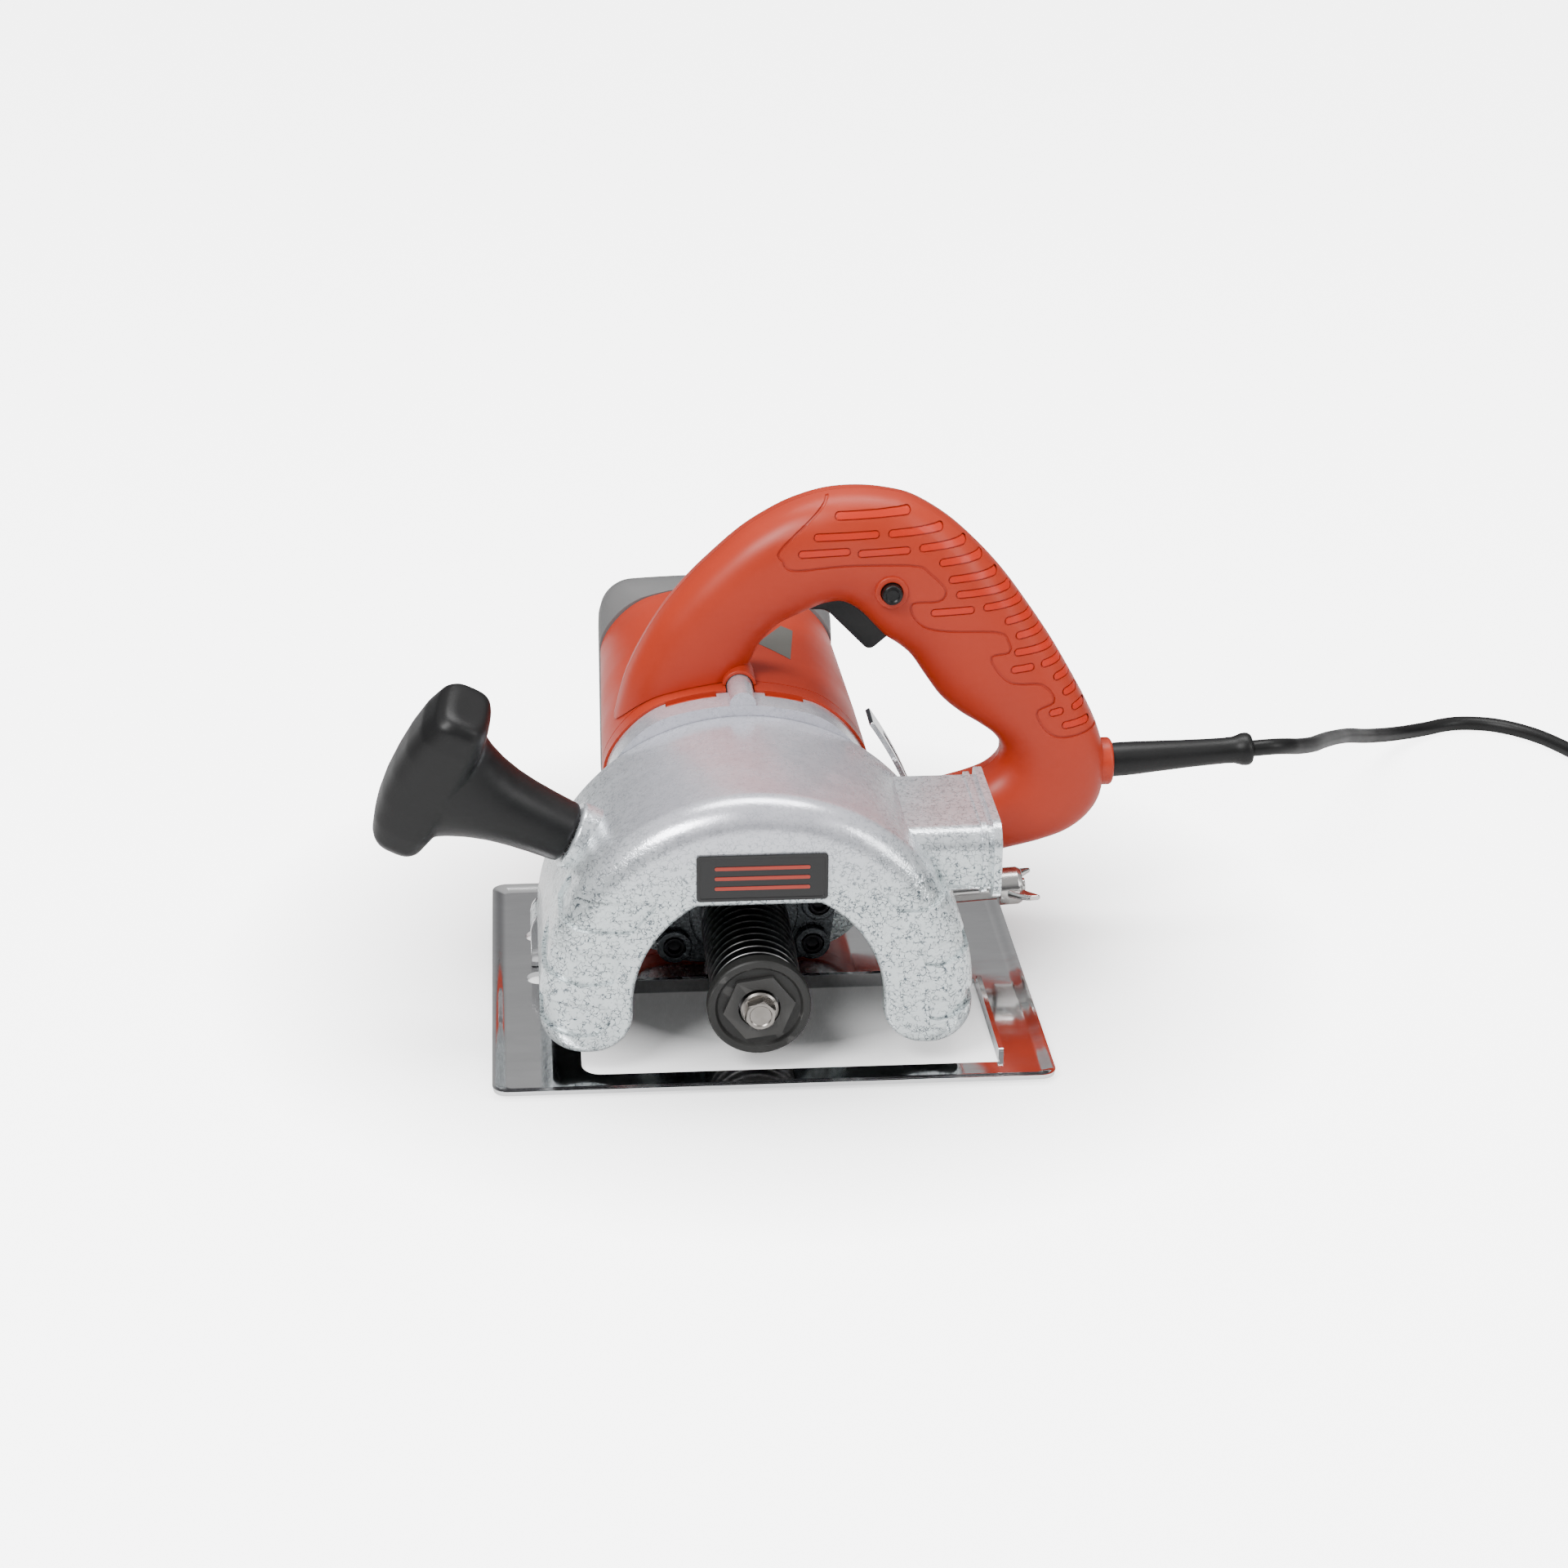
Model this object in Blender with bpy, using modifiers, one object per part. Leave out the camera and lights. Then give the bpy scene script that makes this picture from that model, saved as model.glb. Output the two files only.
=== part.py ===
"""Wall chaser: a circular saw for wall grooves, as an assembly of separate pieces.

X runs to the right along the sole, Y from the blade side to the motor end, Z up.
The origin is on the underside of the sole, below the spindle, in the plane
where the hood meets the gear case. Lengths are in metres.
"""
import math

import bmesh
import bpy
from mathutils import Vector

mm = 0.001
GAP = 0.3 * mm                     # clearance between pieces that touch
FRONT = Vector((0, -1, 0))         # towards the blade side
REAR = Vector((0, 1, 0))           # towards the motor end

# Sole
SHEET = 2.0 * mm
SOLE_LEFT, SOLE_RIGHT = -105.5 * mm, 117.0 * mm
SOLE_FRONT, SOLE_BACK = -107.0 * mm, 82.0 * mm
RIM_WIDTH, RIM_RISE = 5.6 * mm, 1.5 * mm
SLOT_LEFT, SLOT_RIGHT = -70.0 * mm, 96.0 * mm
SLOT_FRONT, SLOT_BACK = -92.0 * mm, -20.0 * mm

# Depth setting: the machine tilts about a pin at the left, along a curved strip at the right
PIVOT_X, PIVOT_Z = -80.0 * mm, 18.0 * mm
PIN_RADIUS = 4.0 * mm
RUNNING = 0.05 * mm                # radial clearance of a turning fit
STRIP_RADIUS = 161.5 * mm
STRIP_TOP_DEG, STRIP_SLOT_DEG = 34.5, (1.2, 31.0)
STRIP_Y = (3.0 * mm, 19.0 * mm)
CLAMP_DEG = 3.5                    # the clamp screw's place on the strip at full depth

# Shafts
SPINDLE_Z = 29.5 * mm
MOTOR_X, MOTOR_Z = -1.5 * mm, 64.47 * mm
GEAR_TEETH, PINION_TEETH, MODULE = 34, 22, 1.25 * mm

# Hood
HOOD_RADIUS, HOOD_WALL = 86.0 * mm, 4.5 * mm
HOOD_DEPTH, HOOD_FILLET = 90.0 * mm, 13.0 * mm
LEG_INNER, LEG_BOTTOM = 49.5 * mm, 8.0 * mm
ARCH_TOP = 72.7 * mm
SPOUT_Y, SPOUT_Z = (-65.0 * mm, -5.0 * mm), (63.0 * mm, 90.0 * mm)
SPOUT_END = 98.0 * mm

# Motor
CASE_HALF_WIDTH, CASE_HALF_HEIGHT, CASE_CORNER = 55.5 * mm, 56.5 * mm, 26.0 * mm
COLLAR_BACK, HOUSING_BACK, CAP_BACK = 15.0 * mm, 149.0 * mm, 176.0 * mm

# D-handle
HANDLE_Y, HANDLE_HALF, HANDLE_WALL = 40.0 * mm, 17.8 * mm, 3.0 * mm
CORD_EXIT = Vector((222.3 * mm, 40.0 * mm, 78.0 * mm))
CORD_RADIUS = 3.5 * mm

FINISHES = {
    "hammered_aluminium": ((0.60, 0.64, 0.66), 0.35, 0.5),
    "orange_plastic": ((0.62, 0.09, 0.04), 0.45, 0.0),
    "grey_plastic": ((0.13, 0.13, 0.14), 0.5, 0.0),
    "black_plastic": ((0.02, 0.02, 0.02), 0.5, 0.0),
    "rubber": ((0.03, 0.03, 0.03), 0.7, 0.0),
    "chromed_steel": ((0.75, 0.74, 0.73), 0.15, 1.0),
    "blackened_steel": ((0.03, 0.03, 0.03), 0.35, 0.8),
    "stainless_steel": ((0.55, 0.53, 0.50), 0.25, 1.0),
    "bearing_steel": ((0.55, 0.56, 0.58), 0.25, 1.0),
    "laminated_steel": ((0.30, 0.31, 0.33), 0.4, 1.0),
    "copper": ((0.72, 0.33, 0.16), 0.3, 1.0),
    "brass": ((0.72, 0.55, 0.25), 0.3, 1.0),
    "carbon": ((0.05, 0.05, 0.05), 0.8, 0.0),
}

parts = None
cutters = None


# ---------------------------------------------------------------- scene and helpers

def clear_scene():
    """Empty the file and make one collection for the parts and one for the cutters."""
    global parts, cutters
    for old in list(bpy.data.objects):
        bpy.data.objects.remove(old, do_unlink=True)
    parts = bpy.data.collections.new("wall_chaser")
    cutters = bpy.data.collections.new("cutters")
    for collection in (parts, cutters):
        bpy.context.scene.collection.children.link(collection)


def pivot(name, place, parent=None):
    """An empty on a joint's axis, for the pieces that turn or slide with it."""
    empty = bpy.data.objects.new(name, None)
    empty["place"] = tuple(place)
    empty.empty_display_size = 0.01
    parts.objects.link(empty)
    empty.parent = parent
    empty.location = Vector(place) - (Vector(parent["place"]) if parent else Vector())
    return empty


def finish(obj, look, group=None, sharp_deg=35):
    """Put a finished object in the parts collection, under its pivot, with its own material."""
    colour, roughness, metallic = FINISHES[look]
    material = bpy.data.materials.new(obj.name + "_" + look)
    material.use_nodes = True
    shader = material.node_tree.nodes["Principled BSDF"]
    shader.inputs["Base Color"].default_value = (*colour, 1)
    shader.inputs["Roughness"].default_value = roughness
    shader.inputs["Metallic"].default_value = metallic
    obj.data.materials.clear()
    obj.data.materials.append(material)
    if obj.type == "MESH":
        obj.data.shade_smooth()
        obj.data.set_sharp_from_angle(angle=math.radians(sharp_deg))
    parts.objects.link(obj)
    if group is not None:
        obj.parent = group
        obj.location = obj.location - Vector(group["place"])
    return obj


def tool(obj):
    """Mark an object as a cutter or a filler that only shapes other pieces."""
    cutters.objects.link(obj)
    obj.hide_render = True
    obj.display_type = "WIRE"
    return obj


def boolean(obj, other, operation):
    """One union or cut, with the slivers that it leaves welded shut."""
    modifier = obj.modifiers.new(operation.lower(), "BOOLEAN")
    modifier.operation = operation
    modifier.object = other
    modifier.solver = "EXACT"
    weld = obj.modifiers.new("weld", "WELD")
    weld.merge_threshold = 0.00002
    return obj


def cut(obj, *others):
    for other in others:
        boolean(obj, other, "DIFFERENCE")
    return obj


def join(obj, *others):
    for other in others:
        boolean(obj, other, "UNION")
    return obj


def mesh_object(name, bm):
    """Close a bmesh into an object with its faces pointing out."""
    bmesh.ops.recalc_face_normals(bm, faces=bm.faces)
    mesh = bpy.data.meshes.new(name)
    bm.to_mesh(mesh)
    bm.free()
    return bpy.data.objects.new(name, mesh)


def box(name, low, high, bevel=0.0):
    """A rectangular block between two corners."""
    low, high = Vector(low), Vector(high)
    bm = bmesh.new()
    bmesh.ops.create_cube(bm, size=1.0)
    bmesh.ops.scale(bm, vec=high - low, verts=bm.verts)
    if bevel:
        bmesh.ops.bevel(bm, geom=bm.edges[:], offset=bevel, segments=2, profile=0.5,
                        affect="EDGES", clamp_overlap=True)
    obj = mesh_object(name, bm)
    obj.location = (low + high) / 2
    return obj


def turned(name, profile, place, direction=REAR, steps=20):
    """Turn a profile of (radius, height) pairs about an axis.

    The profile runs down its outer side, from the highest point; a profile that
    doesn't start on the axis is a closed ring.
    """
    bm = bmesh.new()
    verts = [bm.verts.new((radius, 0, height)) for radius, height in profile]
    for first, second in zip(verts, verts[1:]):
        bm.edges.new((first, second))
    if profile[0][0] > 0:
        bm.edges.new((verts[-1], verts[0]))
    mesh = bpy.data.meshes.new(name)
    bm.to_mesh(mesh)
    bm.free()
    obj = bpy.data.objects.new(name, mesh)
    screw = obj.modifiers.new("turn", "SCREW")
    screw.steps = screw.render_steps = steps
    screw.use_merge_vertices = True
    screw.merge_threshold = 0.00001
    obj.rotation_euler = Vector((0, 0, 1)).rotation_difference(Vector(direction)).to_euler()
    obj.location = place
    return obj


def rod(name, radius, low, high, place, direction=REAR, steps=20):
    """A plain cylinder between two heights along its axis."""
    return turned(name, [(0, high), (radius, high), (radius, low), (0, low)], place, direction, steps)


def ring(name, outer, inner, low, high, place, direction=REAR, steps=20):
    """A plain ring between two heights along its axis."""
    return turned(name, [(outer, high), (outer, low), (inner, low), (inner, high)], place,
                  direction, steps)


def prism(name, outlines, low, high, along="Y"):
    """Extrude flat outlines: (x, z) pairs along Y, (y, z) pairs along X, (x, y) pairs along Z."""
    curve = bpy.data.curves.new(name, "CURVE")
    curve.dimensions = "2D"
    curve.fill_mode = "BOTH"
    curve.extrude = (high - low) / 2
    for outline in outlines:
        spline = curve.splines.new("POLY")
        spline.points.add(len(outline) - 1)
        for point, (across, up) in zip(spline.points, outline):
            point.co = (across, up, 0, 1)
        spline.use_cyclic_u = True
    guide = bpy.data.objects.new(name, curve)
    cutters.objects.link(guide)
    mesh = bpy.data.meshes.new_from_object(guide.evaluated_get(bpy.context.evaluated_depsgraph_get()))
    bpy.data.objects.remove(guide, do_unlink=True)
    bm = bmesh.new()
    bm.from_mesh(mesh)
    bmesh.ops.remove_doubles(bm, verts=bm.verts, dist=0.000001)
    obj = mesh_object(name, bm)
    middle = (low + high) / 2
    if along == "Y":
        obj.rotation_euler = (math.pi / 2, 0, 0)
        obj.location = (0, middle, 0)
    elif along == "X":
        obj.rotation_euler = (math.pi / 2, 0, math.pi / 2)
        obj.location = (middle, 0, 0)
    else:
        obj.location = (0, 0, middle)
    return obj


def loft(name, loops):
    """Skin closed loops of equal point count, with flat caps on the first and the last."""
    bm = bmesh.new()
    rows = [[bm.verts.new(point) for point in loop] for loop in loops]
    count = len(rows[0])
    for near, far in zip(rows, rows[1:]):
        for i in range(count):
            j = (i + 1) % count
            bm.faces.new((near[i], near[j], far[j], far[i]))
    bm.faces.new(rows[0])
    bm.faces.new(rows[-1])
    return mesh_object(name, bm)


def arc(centre, radius, start_deg, end_deg, steps):
    """Points on an arc, both ends included."""
    return [(centre[0] + radius * math.cos(math.radians(a)), centre[1] + radius * math.sin(math.radians(a)))
            for a in (start_deg + (end_deg - start_deg) * i / steps for i in range(steps + 1))]


def rounded(corners, steps=4):
    """A closed outline from (x, z, radius) corners, each rounded with an arc."""
    points = []
    for i, (x, z, radius) in enumerate(corners):
        here = Vector((x, z))
        if not radius:
            points.append((x, z))
            continue
        before = (Vector(corners[i - 1][:2]) - here).normalized()
        after = (Vector(corners[(i + 1) % len(corners)][:2]) - here).normalized()
        half = before.angle(after) / 2
        centre = here + (before + after).normalized() * (radius / math.sin(half))
        first = here + before * (radius / math.tan(half)) - centre
        last = here + after * (radius / math.tan(half)) - centre
        start = math.atan2(first.y, first.x)
        sweep = (math.atan2(last.y, last.x) - start + math.pi) % (2 * math.pi) - math.pi
        for k in range(steps + 1):
            angle = start + sweep * k / steps
            points.append((centre.x + radius * math.cos(angle), centre.y + radius * math.sin(angle)))
    return points


def belt(circles, steps=20):
    """The outline of a belt pulled tight around circles given as (x, z, radius)."""
    cloud = sorted({(round(x + r * math.cos(2 * math.pi * k / steps), 7),
                     round(z + r * math.sin(2 * math.pi * k / steps), 7))
                    for x, z, r in circles for k in range(steps)})

    def half(points):
        side = []
        for p in points:
            while len(side) > 1 and ((side[-1][0] - side[-2][0]) * (p[1] - side[-2][1])
                                     - (side[-1][1] - side[-2][1]) * (p[0] - side[-2][0])) <= 0:
                side.pop()
            side.append(p)
        return side[:-1]

    return half(cloud) + half(cloud[::-1])


def spline(points, count):
    """Points at even spacing along a smooth curve through the given points."""
    knots = [Vector(p) for p in points]
    ends = [2 * knots[0] - knots[1]] + knots + [2 * knots[-1] - knots[-2]]
    fine = []
    for i in range(1, len(ends) - 2):
        a, b, c, d = ends[i - 1:i + 3]
        for k in range(16):
            t = k / 16
            fine.append(0.5 * (2 * b + (c - a) * t + (2 * a - 5 * b + 4 * c - d) * t ** 2
                               + (3 * b - a - 3 * c + d) * t ** 3))
    fine.append(knots[-1])
    lengths = [0.0]
    for first, second in zip(fine, fine[1:]):
        lengths.append(lengths[-1] + (second - first).length)
    even = []
    j = 0
    for k in range(count):
        target = lengths[-1] * k / (count - 1)
        while j < len(fine) - 2 and lengths[j + 1] < target:
            j += 1
        share = (target - lengths[j]) / (lengths[j + 1] - lengths[j])
        even.append(fine[j].lerp(fine[j + 1], min(share, 1.0)))
    return even


def tube(name, points, radius, resolution=2):
    """A round cord as a curve object with a bevel depth and filled caps."""
    curve = bpy.data.curves.new(name, "CURVE")
    curve.dimensions = "3D"
    curve.bevel_depth = radius
    curve.bevel_resolution = resolution
    curve.use_fill_caps = True
    line = curve.splines.new("POLY")
    line.points.add(len(points) - 1)
    for point, place in zip(line.points, points):
        point.co = (*place, 1)
    return bpy.data.objects.new(name, curve)


# ---------------------------------------------------------------- sole and depth setting

def on_arc(angle_deg, radius):
    """A point in the XZ plane at an angle above level, seen from the depth pivot."""
    angle = math.radians(angle_deg)
    return (PIVOT_X + radius * math.cos(angle), PIVOT_Z + radius * math.sin(angle))


def rounded_rectangle(left, right, front, back, radius, steps=4):
    return rounded([(left, front, radius), (right, front, radius), (right, back, radius),
                    (left, back, radius)], steps)


def make_sole():
    """Pressed sheet sole: shallow rims, a blade slot with upturned lips, two relief holes."""
    bm = bmesh.new()
    inner = [bm.verts.new((x, y, SHEET)) for x, y in rounded_rectangle(
        SOLE_LEFT + RIM_WIDTH, SOLE_RIGHT - RIM_WIDTH, SOLE_FRONT + RIM_WIDTH,
        SOLE_BACK - RIM_WIDTH, 1.5 * mm)]
    outer = [bm.verts.new((x, y, SHEET + RIM_RISE)) for x, y in rounded_rectangle(
        SOLE_LEFT, SOLE_RIGHT, SOLE_FRONT, SOLE_BACK, 5.0 * mm)]
    bm.faces.new(inner)
    for i in range(len(inner)):
        j = (i + 1) % len(inner)
        bm.faces.new((inner[i], outer[i], outer[j], inner[j]))
    mesh = bpy.data.meshes.new("base_plate")
    bm.to_mesh(mesh)
    bm.free()
    sole = bpy.data.objects.new("base_plate", mesh)
    solid = sole.modifiers.new("sheet", "SOLIDIFY")
    solid.thickness = SHEET
    solid.offset = -1
    lip_top = SHEET + 4.0 * mm
    back_lip = tool(box("slot_back_lip", (SLOT_LEFT + 4 * mm, SLOT_BACK - 2 * mm, 0.8 * mm),
                        (SLOT_RIGHT - 3 * mm, SLOT_BACK + SHEET, lip_top)))
    side_lip = tool(box("slot_side_lip", (SLOT_RIGHT - 2 * mm, SLOT_FRONT + 3 * mm, 0.8 * mm),
                        (SLOT_RIGHT + SHEET, SLOT_BACK - 4 * mm, lip_top)))
    slot = tool(prism("blade_slot", [rounded(
        [(SLOT_LEFT, SLOT_FRONT, 8 * mm), (SLOT_RIGHT, SLOT_FRONT, 0), (SLOT_RIGHT, SLOT_BACK, 0),
         (SLOT_LEFT, SLOT_BACK, 8 * mm)])], -5 * mm, 12 * mm, along="Z"))
    join(sole, back_lip, side_lip)
    cut(sole, slot)
    for i, (front, back) in enumerate(((-12.5 * mm, -1.5 * mm), (27.0 * mm, 38.0 * mm))):
        relief = rounded([(-91 * mm, front, 4 * mm), (-83 * mm, front, 0), (-83 * mm, back, 0),
                          (-91 * mm, back, 4 * mm)])
        cut(sole, tool(prism(f"relief_hole_{i + 1}", [relief], -5 * mm, 5 * mm, along="Z")))
    return finish(sole, "chromed_steel")


def make_hinge_bracket():
    """U-shaped bracket on the sole whose two ears hold the depth pin."""
    width, foot = 9.0 * mm, SHEET + GAP
    ear = rounded([(PIVOT_X - width, foot, 0), (PIVOT_X + width, foot, 0),
                   (PIVOT_X + width, PIVOT_Z + width, width * 0.98),
                   (PIVOT_X - width, PIVOT_Z + width, width * 0.98)], steps=8)
    bracket = prism("hinge_bracket", [ear], 3.0 * mm, 23.5 * mm)
    between = tool(box("bracket_gap", (PIVOT_X - 2 * width, 5.5 * mm, foot + SHEET),
                       (PIVOT_X + 2 * width, 21.0 * mm, 60 * mm)))
    bore = tool(rod("bracket_bore", PIN_RADIUS + RUNNING, -1 * mm, 26 * mm, (PIVOT_X, 0, PIVOT_Z)))
    cut(bracket, between, bore)
    return finish(bracket, "chromed_steel")


def make_hinge_pin():
    profile = [(0, 26.0), (4, 26.0), (4, 2.6), (6, 2.6), (6, 0.7), (0, 0.7)]
    pin = turned("hinge_pin", [(r * mm, h * mm) for r, h in profile], (PIVOT_X, 0, PIVOT_Z))
    return finish(pin, "stainless_steel")


def make_depth_strip():
    """Curved strip about the depth pivot, with a long slot and a foot on the sole."""
    half = SHEET / 2
    foot_top = 2 * SHEET + GAP
    low = math.degrees(math.asin((foot_top - PIVOT_Z) / STRIP_RADIUS))
    outer = arc((PIVOT_X, PIVOT_Z), STRIP_RADIUS + half, low - 0.6, STRIP_TOP_DEG, 20)
    inner = arc((PIVOT_X, PIVOT_Z), STRIP_RADIUS - half, STRIP_TOP_DEG, low, 20)
    foot_x = outer[0][0]
    section = [(foot_x, SHEET + GAP)] + outer + inner + [(foot_x - 24 * mm, foot_top),
                                                         (foot_x - 24 * mm, SHEET + GAP)]
    strip = prism("depth_strip", [section], *STRIP_Y)
    middle = sum(STRIP_Y) / 2
    start, end = STRIP_SLOT_DEG
    slot = tool(prism("strip_slot", [
        arc((PIVOT_X, PIVOT_Z), STRIP_RADIUS + 5 * mm, start, end, 12)
        + arc((PIVOT_X, PIVOT_Z), STRIP_RADIUS - 5 * mm, end, start, 12)],
        middle - 3.3 * mm, middle + 3.3 * mm))
    cut(strip, slot)
    return finish(strip, "chromed_steel")


def make_clamp(head):
    """Radial clamp screw with its sleeve, and the wing nut that turns on it."""
    angle = math.radians(CLAMP_DEG)
    outward = Vector((math.cos(angle), 0, math.sin(angle)))
    middle = sum(STRIP_Y) / 2
    start = Vector((PIVOT_X, middle, PIVOT_Z))
    profile = [(0, 201.5), (3, 201.5), (3, 189.2), (5.5, 189.2), (5.5, 163.2), (3, 163.2),
               (3, 146.0), (0, 146.0)]
    screw = turned("clamp_screw", [(r * mm, h * mm) for r, h in profile], start, outward, 20)
    finish(screw, "stainless_steel", head)
    axis = start + outward * 194 * mm
    spin = pivot("wing_nut_axis", axis, head)
    profile = [(7, 6.0), (8, 4.0), (8, -4.2), (3.2, -4.2), (3.2, 6.0)]
    nut = turned("wing_nut", [(r * mm, h * mm) for r, h in profile], axis, outward, 20)
    for side in (-1, 1):
        wing = loft(f"wing_{side}", [
            [(side * x * mm, y * mm, z * mm) for y in (-1.4, 1.4) for z in ((low, high) if y < 0 else (high, low))]
            for x, low, high in ((5.5, -3.0, 4.5), (10.0, 0.5, 8.0), (14.0, 5.0, 12.5))])
        wing.rotation_euler = nut.rotation_euler
        wing.rotation_euler.rotate_axis("Z", math.pi / 2)
        wing.location = axis
        join(nut, tool(wing))
    finish(nut, "stainless_steel", spin)
    return start, outward


# ---------------------------------------------------------------- hood

def hood_outline(inset):
    """Half-round hood with two legs and an arch opening; the outer side moves in by inset."""
    radius = HOOD_RADIUS - inset
    opening = math.degrees(math.asin((ARCH_TOP - SPINDLE_Z) / LEG_INNER))
    centre = (0, SPINDLE_Z)
    low = LEG_BOTTOM + inset * 0.35
    corner = 14 * mm - inset * 0.4
    inner_corner = 19 * mm - inset * 0.4
    points = arc(centre, radius, 0, 180, 36)
    points += arc((corner - radius, low + corner), corner, 180, 270, 5)
    points += arc((-LEG_INNER - inner_corner, low + inner_corner), inner_corner, 270, 360, 6)
    points += arc(centre, LEG_INNER, 180, 180 - opening, 8)
    points += arc(centre, LEG_INNER, opening, 0, 8)
    points += arc((LEG_INNER + inner_corner, low + inner_corner), inner_corner, 180, 270, 6)
    points += arc((radius - corner, low + corner), corner, 270, 360, 5)
    return points


def make_hood(head, cover_outline):
    """Cast hood: front wall with the arch, round crest, dust spout, open underneath."""
    rows = []
    for k in range(6):
        angle = math.pi / 2 * k / 5
        rows.append((-HOOD_DEPTH + HOOD_FILLET * (1 - math.cos(angle)),
                     HOOD_FILLET * (1 - math.sin(angle))))
    rows.append((0.0, 0.0))
    hood = loft("hood", [[(x, y, z) for x, z in hood_outline(inset)] for y, inset in rows])
    spout = tool(prism("spout_duct", [rounded(
        [(SPOUT_Y[0], SPOUT_Z[0], 6 * mm), (SPOUT_Y[1], SPOUT_Z[0], 3 * mm),
         (SPOUT_Y[1], SPOUT_Z[1], 3 * mm), (SPOUT_Y[0], SPOUT_Z[1], 9 * mm)])],
        45 * mm, SPOUT_END - 1 * mm, along="X"))
    rim = tool(prism("spout_rim", [rounded(
        [(SPOUT_Y[0] - 2.5 * mm, SPOUT_Z[0] - 2.5 * mm, 7 * mm),
         (SPOUT_Y[1] + 2.5 * mm, SPOUT_Z[0] - 2.5 * mm, 4 * mm),
         (SPOUT_Y[1] + 2.5 * mm, SPOUT_Z[1] + 3 * mm, 4 * mm),
         (SPOUT_Y[0] - 2.5 * mm, SPOUT_Z[1] + 3 * mm, 10 * mm)])],
        SPOUT_END - 3.5 * mm, SPOUT_END, along="X"))
    inside = HOOD_RADIUS - HOOD_WALL
    cavity = tool(loft("hood_cavity", [
        [(x, y, z) for x, z in arc((0, SPINDLE_Z), inside - inset, 0, 180, 36)
         + [(inset - inside, -20 * mm), (inside - inset, -20 * mm)]]
        for y, inset in ((-HOOD_DEPTH + HOOD_WALL, 8 * mm), (-HOOD_DEPTH + HOOD_WALL + 2.4 * mm, 2.4 * mm),
                         (-HOOD_DEPTH + HOOD_WALL + 8 * mm, 0), (-4 * mm, 0))]))
    bore = tool(prism("spout_bore", [rounded(
        [(SPOUT_Y[0] + 3 * mm, SPOUT_Z[0] + 3 * mm, 4 * mm), (SPOUT_Y[1] - 3 * mm, SPOUT_Z[0] + 3 * mm, 2 * mm),
         (SPOUT_Y[1] - 3 * mm, SPOUT_Z[1] - 3 * mm, 2 * mm), (SPOUT_Y[0] + 3 * mm, SPOUT_Z[1] - 3 * mm, 6 * mm)])],
        40 * mm, SPOUT_END + 5 * mm, along="X"))
    back_hole = tool(prism("hood_back_hole", [cover_outline], -6 * mm, 3 * mm))
    place, direction = side_handle_axis()
    boss = tool(rod("grip_boss", 14 * mm, -6 * mm, 3.6 * mm, place, direction, 28))
    join(hood, spout, rim, boss)
    cut(hood, cavity, bore, back_hole)
    cut(hood, tool(rod("stud_hole", 5.4 * mm, -30 * mm, 10 * mm, place, direction, 24)))
    return finish(hood, "hammered_aluminium", head)


def make_front_badge(head):
    """Thin blank plate on the hood's front face, above the arch."""
    badge = prism("front_badge", [rounded([(-24.5 * mm, 75.6 * mm, 1.5 * mm), (26.5 * mm, 75.6 * mm, 1.5 * mm),
                                           (26.5 * mm, 95.0 * mm, 1.5 * mm), (-24.5 * mm, 95.0 * mm, 1.5 * mm)])],
                  -HOOD_DEPTH - 1.1 * mm, -HOOD_DEPTH - GAP)
    return finish(badge, "black_plastic", head)


def side_handle_axis():
    """Base point on the hood and direction of the left-hand grip."""
    tilt = math.radians(27)
    return (Vector((-69 * mm, -40 * mm, 81.5 * mm)), Vector((-math.cos(tilt), 0, math.sin(tilt))))


def make_side_handle(head):
    """T-shaped rubber grip on a threaded stud through the hood."""
    place, direction = side_handle_axis()
    stud = turned("side_handle_stud", [(r * mm, h * mm) for r, h in (
        (0, 30), (5, 30), (5, -8.2), (8.5, -8.2), (8.5, -14.5), (0, -14.5))], place, direction, 20)
    finish(stud, "stainless_steel", head)
    profile = [(0, 60), (18.4, 60), (17.8, 50), (17, 41), (15.2, 33), (13.8, 25), (12.8, 16), (12.2, 4), (5.4, 4),
               (5.4, 31), (0, 31)]
    grip = turned("side_handle_grip", [(r * mm, h * mm) for r, h in profile], place, direction, 24)
    swing = math.radians(105)
    across = Vector((math.sin(math.radians(27)), 0, math.cos(math.radians(27))))
    along = (REAR * math.cos(swing) + across * math.sin(swing)).normalized()
    third = direction.cross(along).normalized()
    rows = []
    for step, width, low, high in ((-38, 12, 58.5, 71), (-34, 15, 56, 74.2), (-23, 16.8, 53, 77.5),
                                   (0, 17.2, 51, 79), (23, 16.8, 53, 77.5), (34, 15, 56, 74.2), (38, 12, 58.5, 71)):
        thick = (high - low) / 2
        middle = place + direction * (low + high) / 2 * mm + along * step * mm
        rows.append([middle + direction * (a * thick * mm) + third * (b * width * mm)
                     for a, b in ((-1, -0.45), (-0.45, -1), (0.45, -1), (1, -0.45),
                                  (1, 0.45), (0.45, 1), (-0.45, 1), (-1, 0.45))])
    join(grip, tool(loft("grip_head", rows)))
    return finish(grip, "rubber", head, sharp_deg=50)


# ---------------------------------------------------------------- gear case and spindle

def case_section(half_width, half_height, corner, steps=5):
    """Rounded square section about the motor axis."""
    left, right = MOTOR_X - half_width, MOTOR_X + half_width
    low, high = MOTOR_Z - half_height, MOTOR_Z + half_height
    return rounded([(left, low, corner), (right, low, corner), (right, high, corner), (left, high, corner)], steps)


COVER_SCREWS = [(-29 * mm, 15 * mm), (29 * mm, 15 * mm), (31.5 * mm, 33 * mm), (-30 * mm, 50 * mm)]


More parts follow.
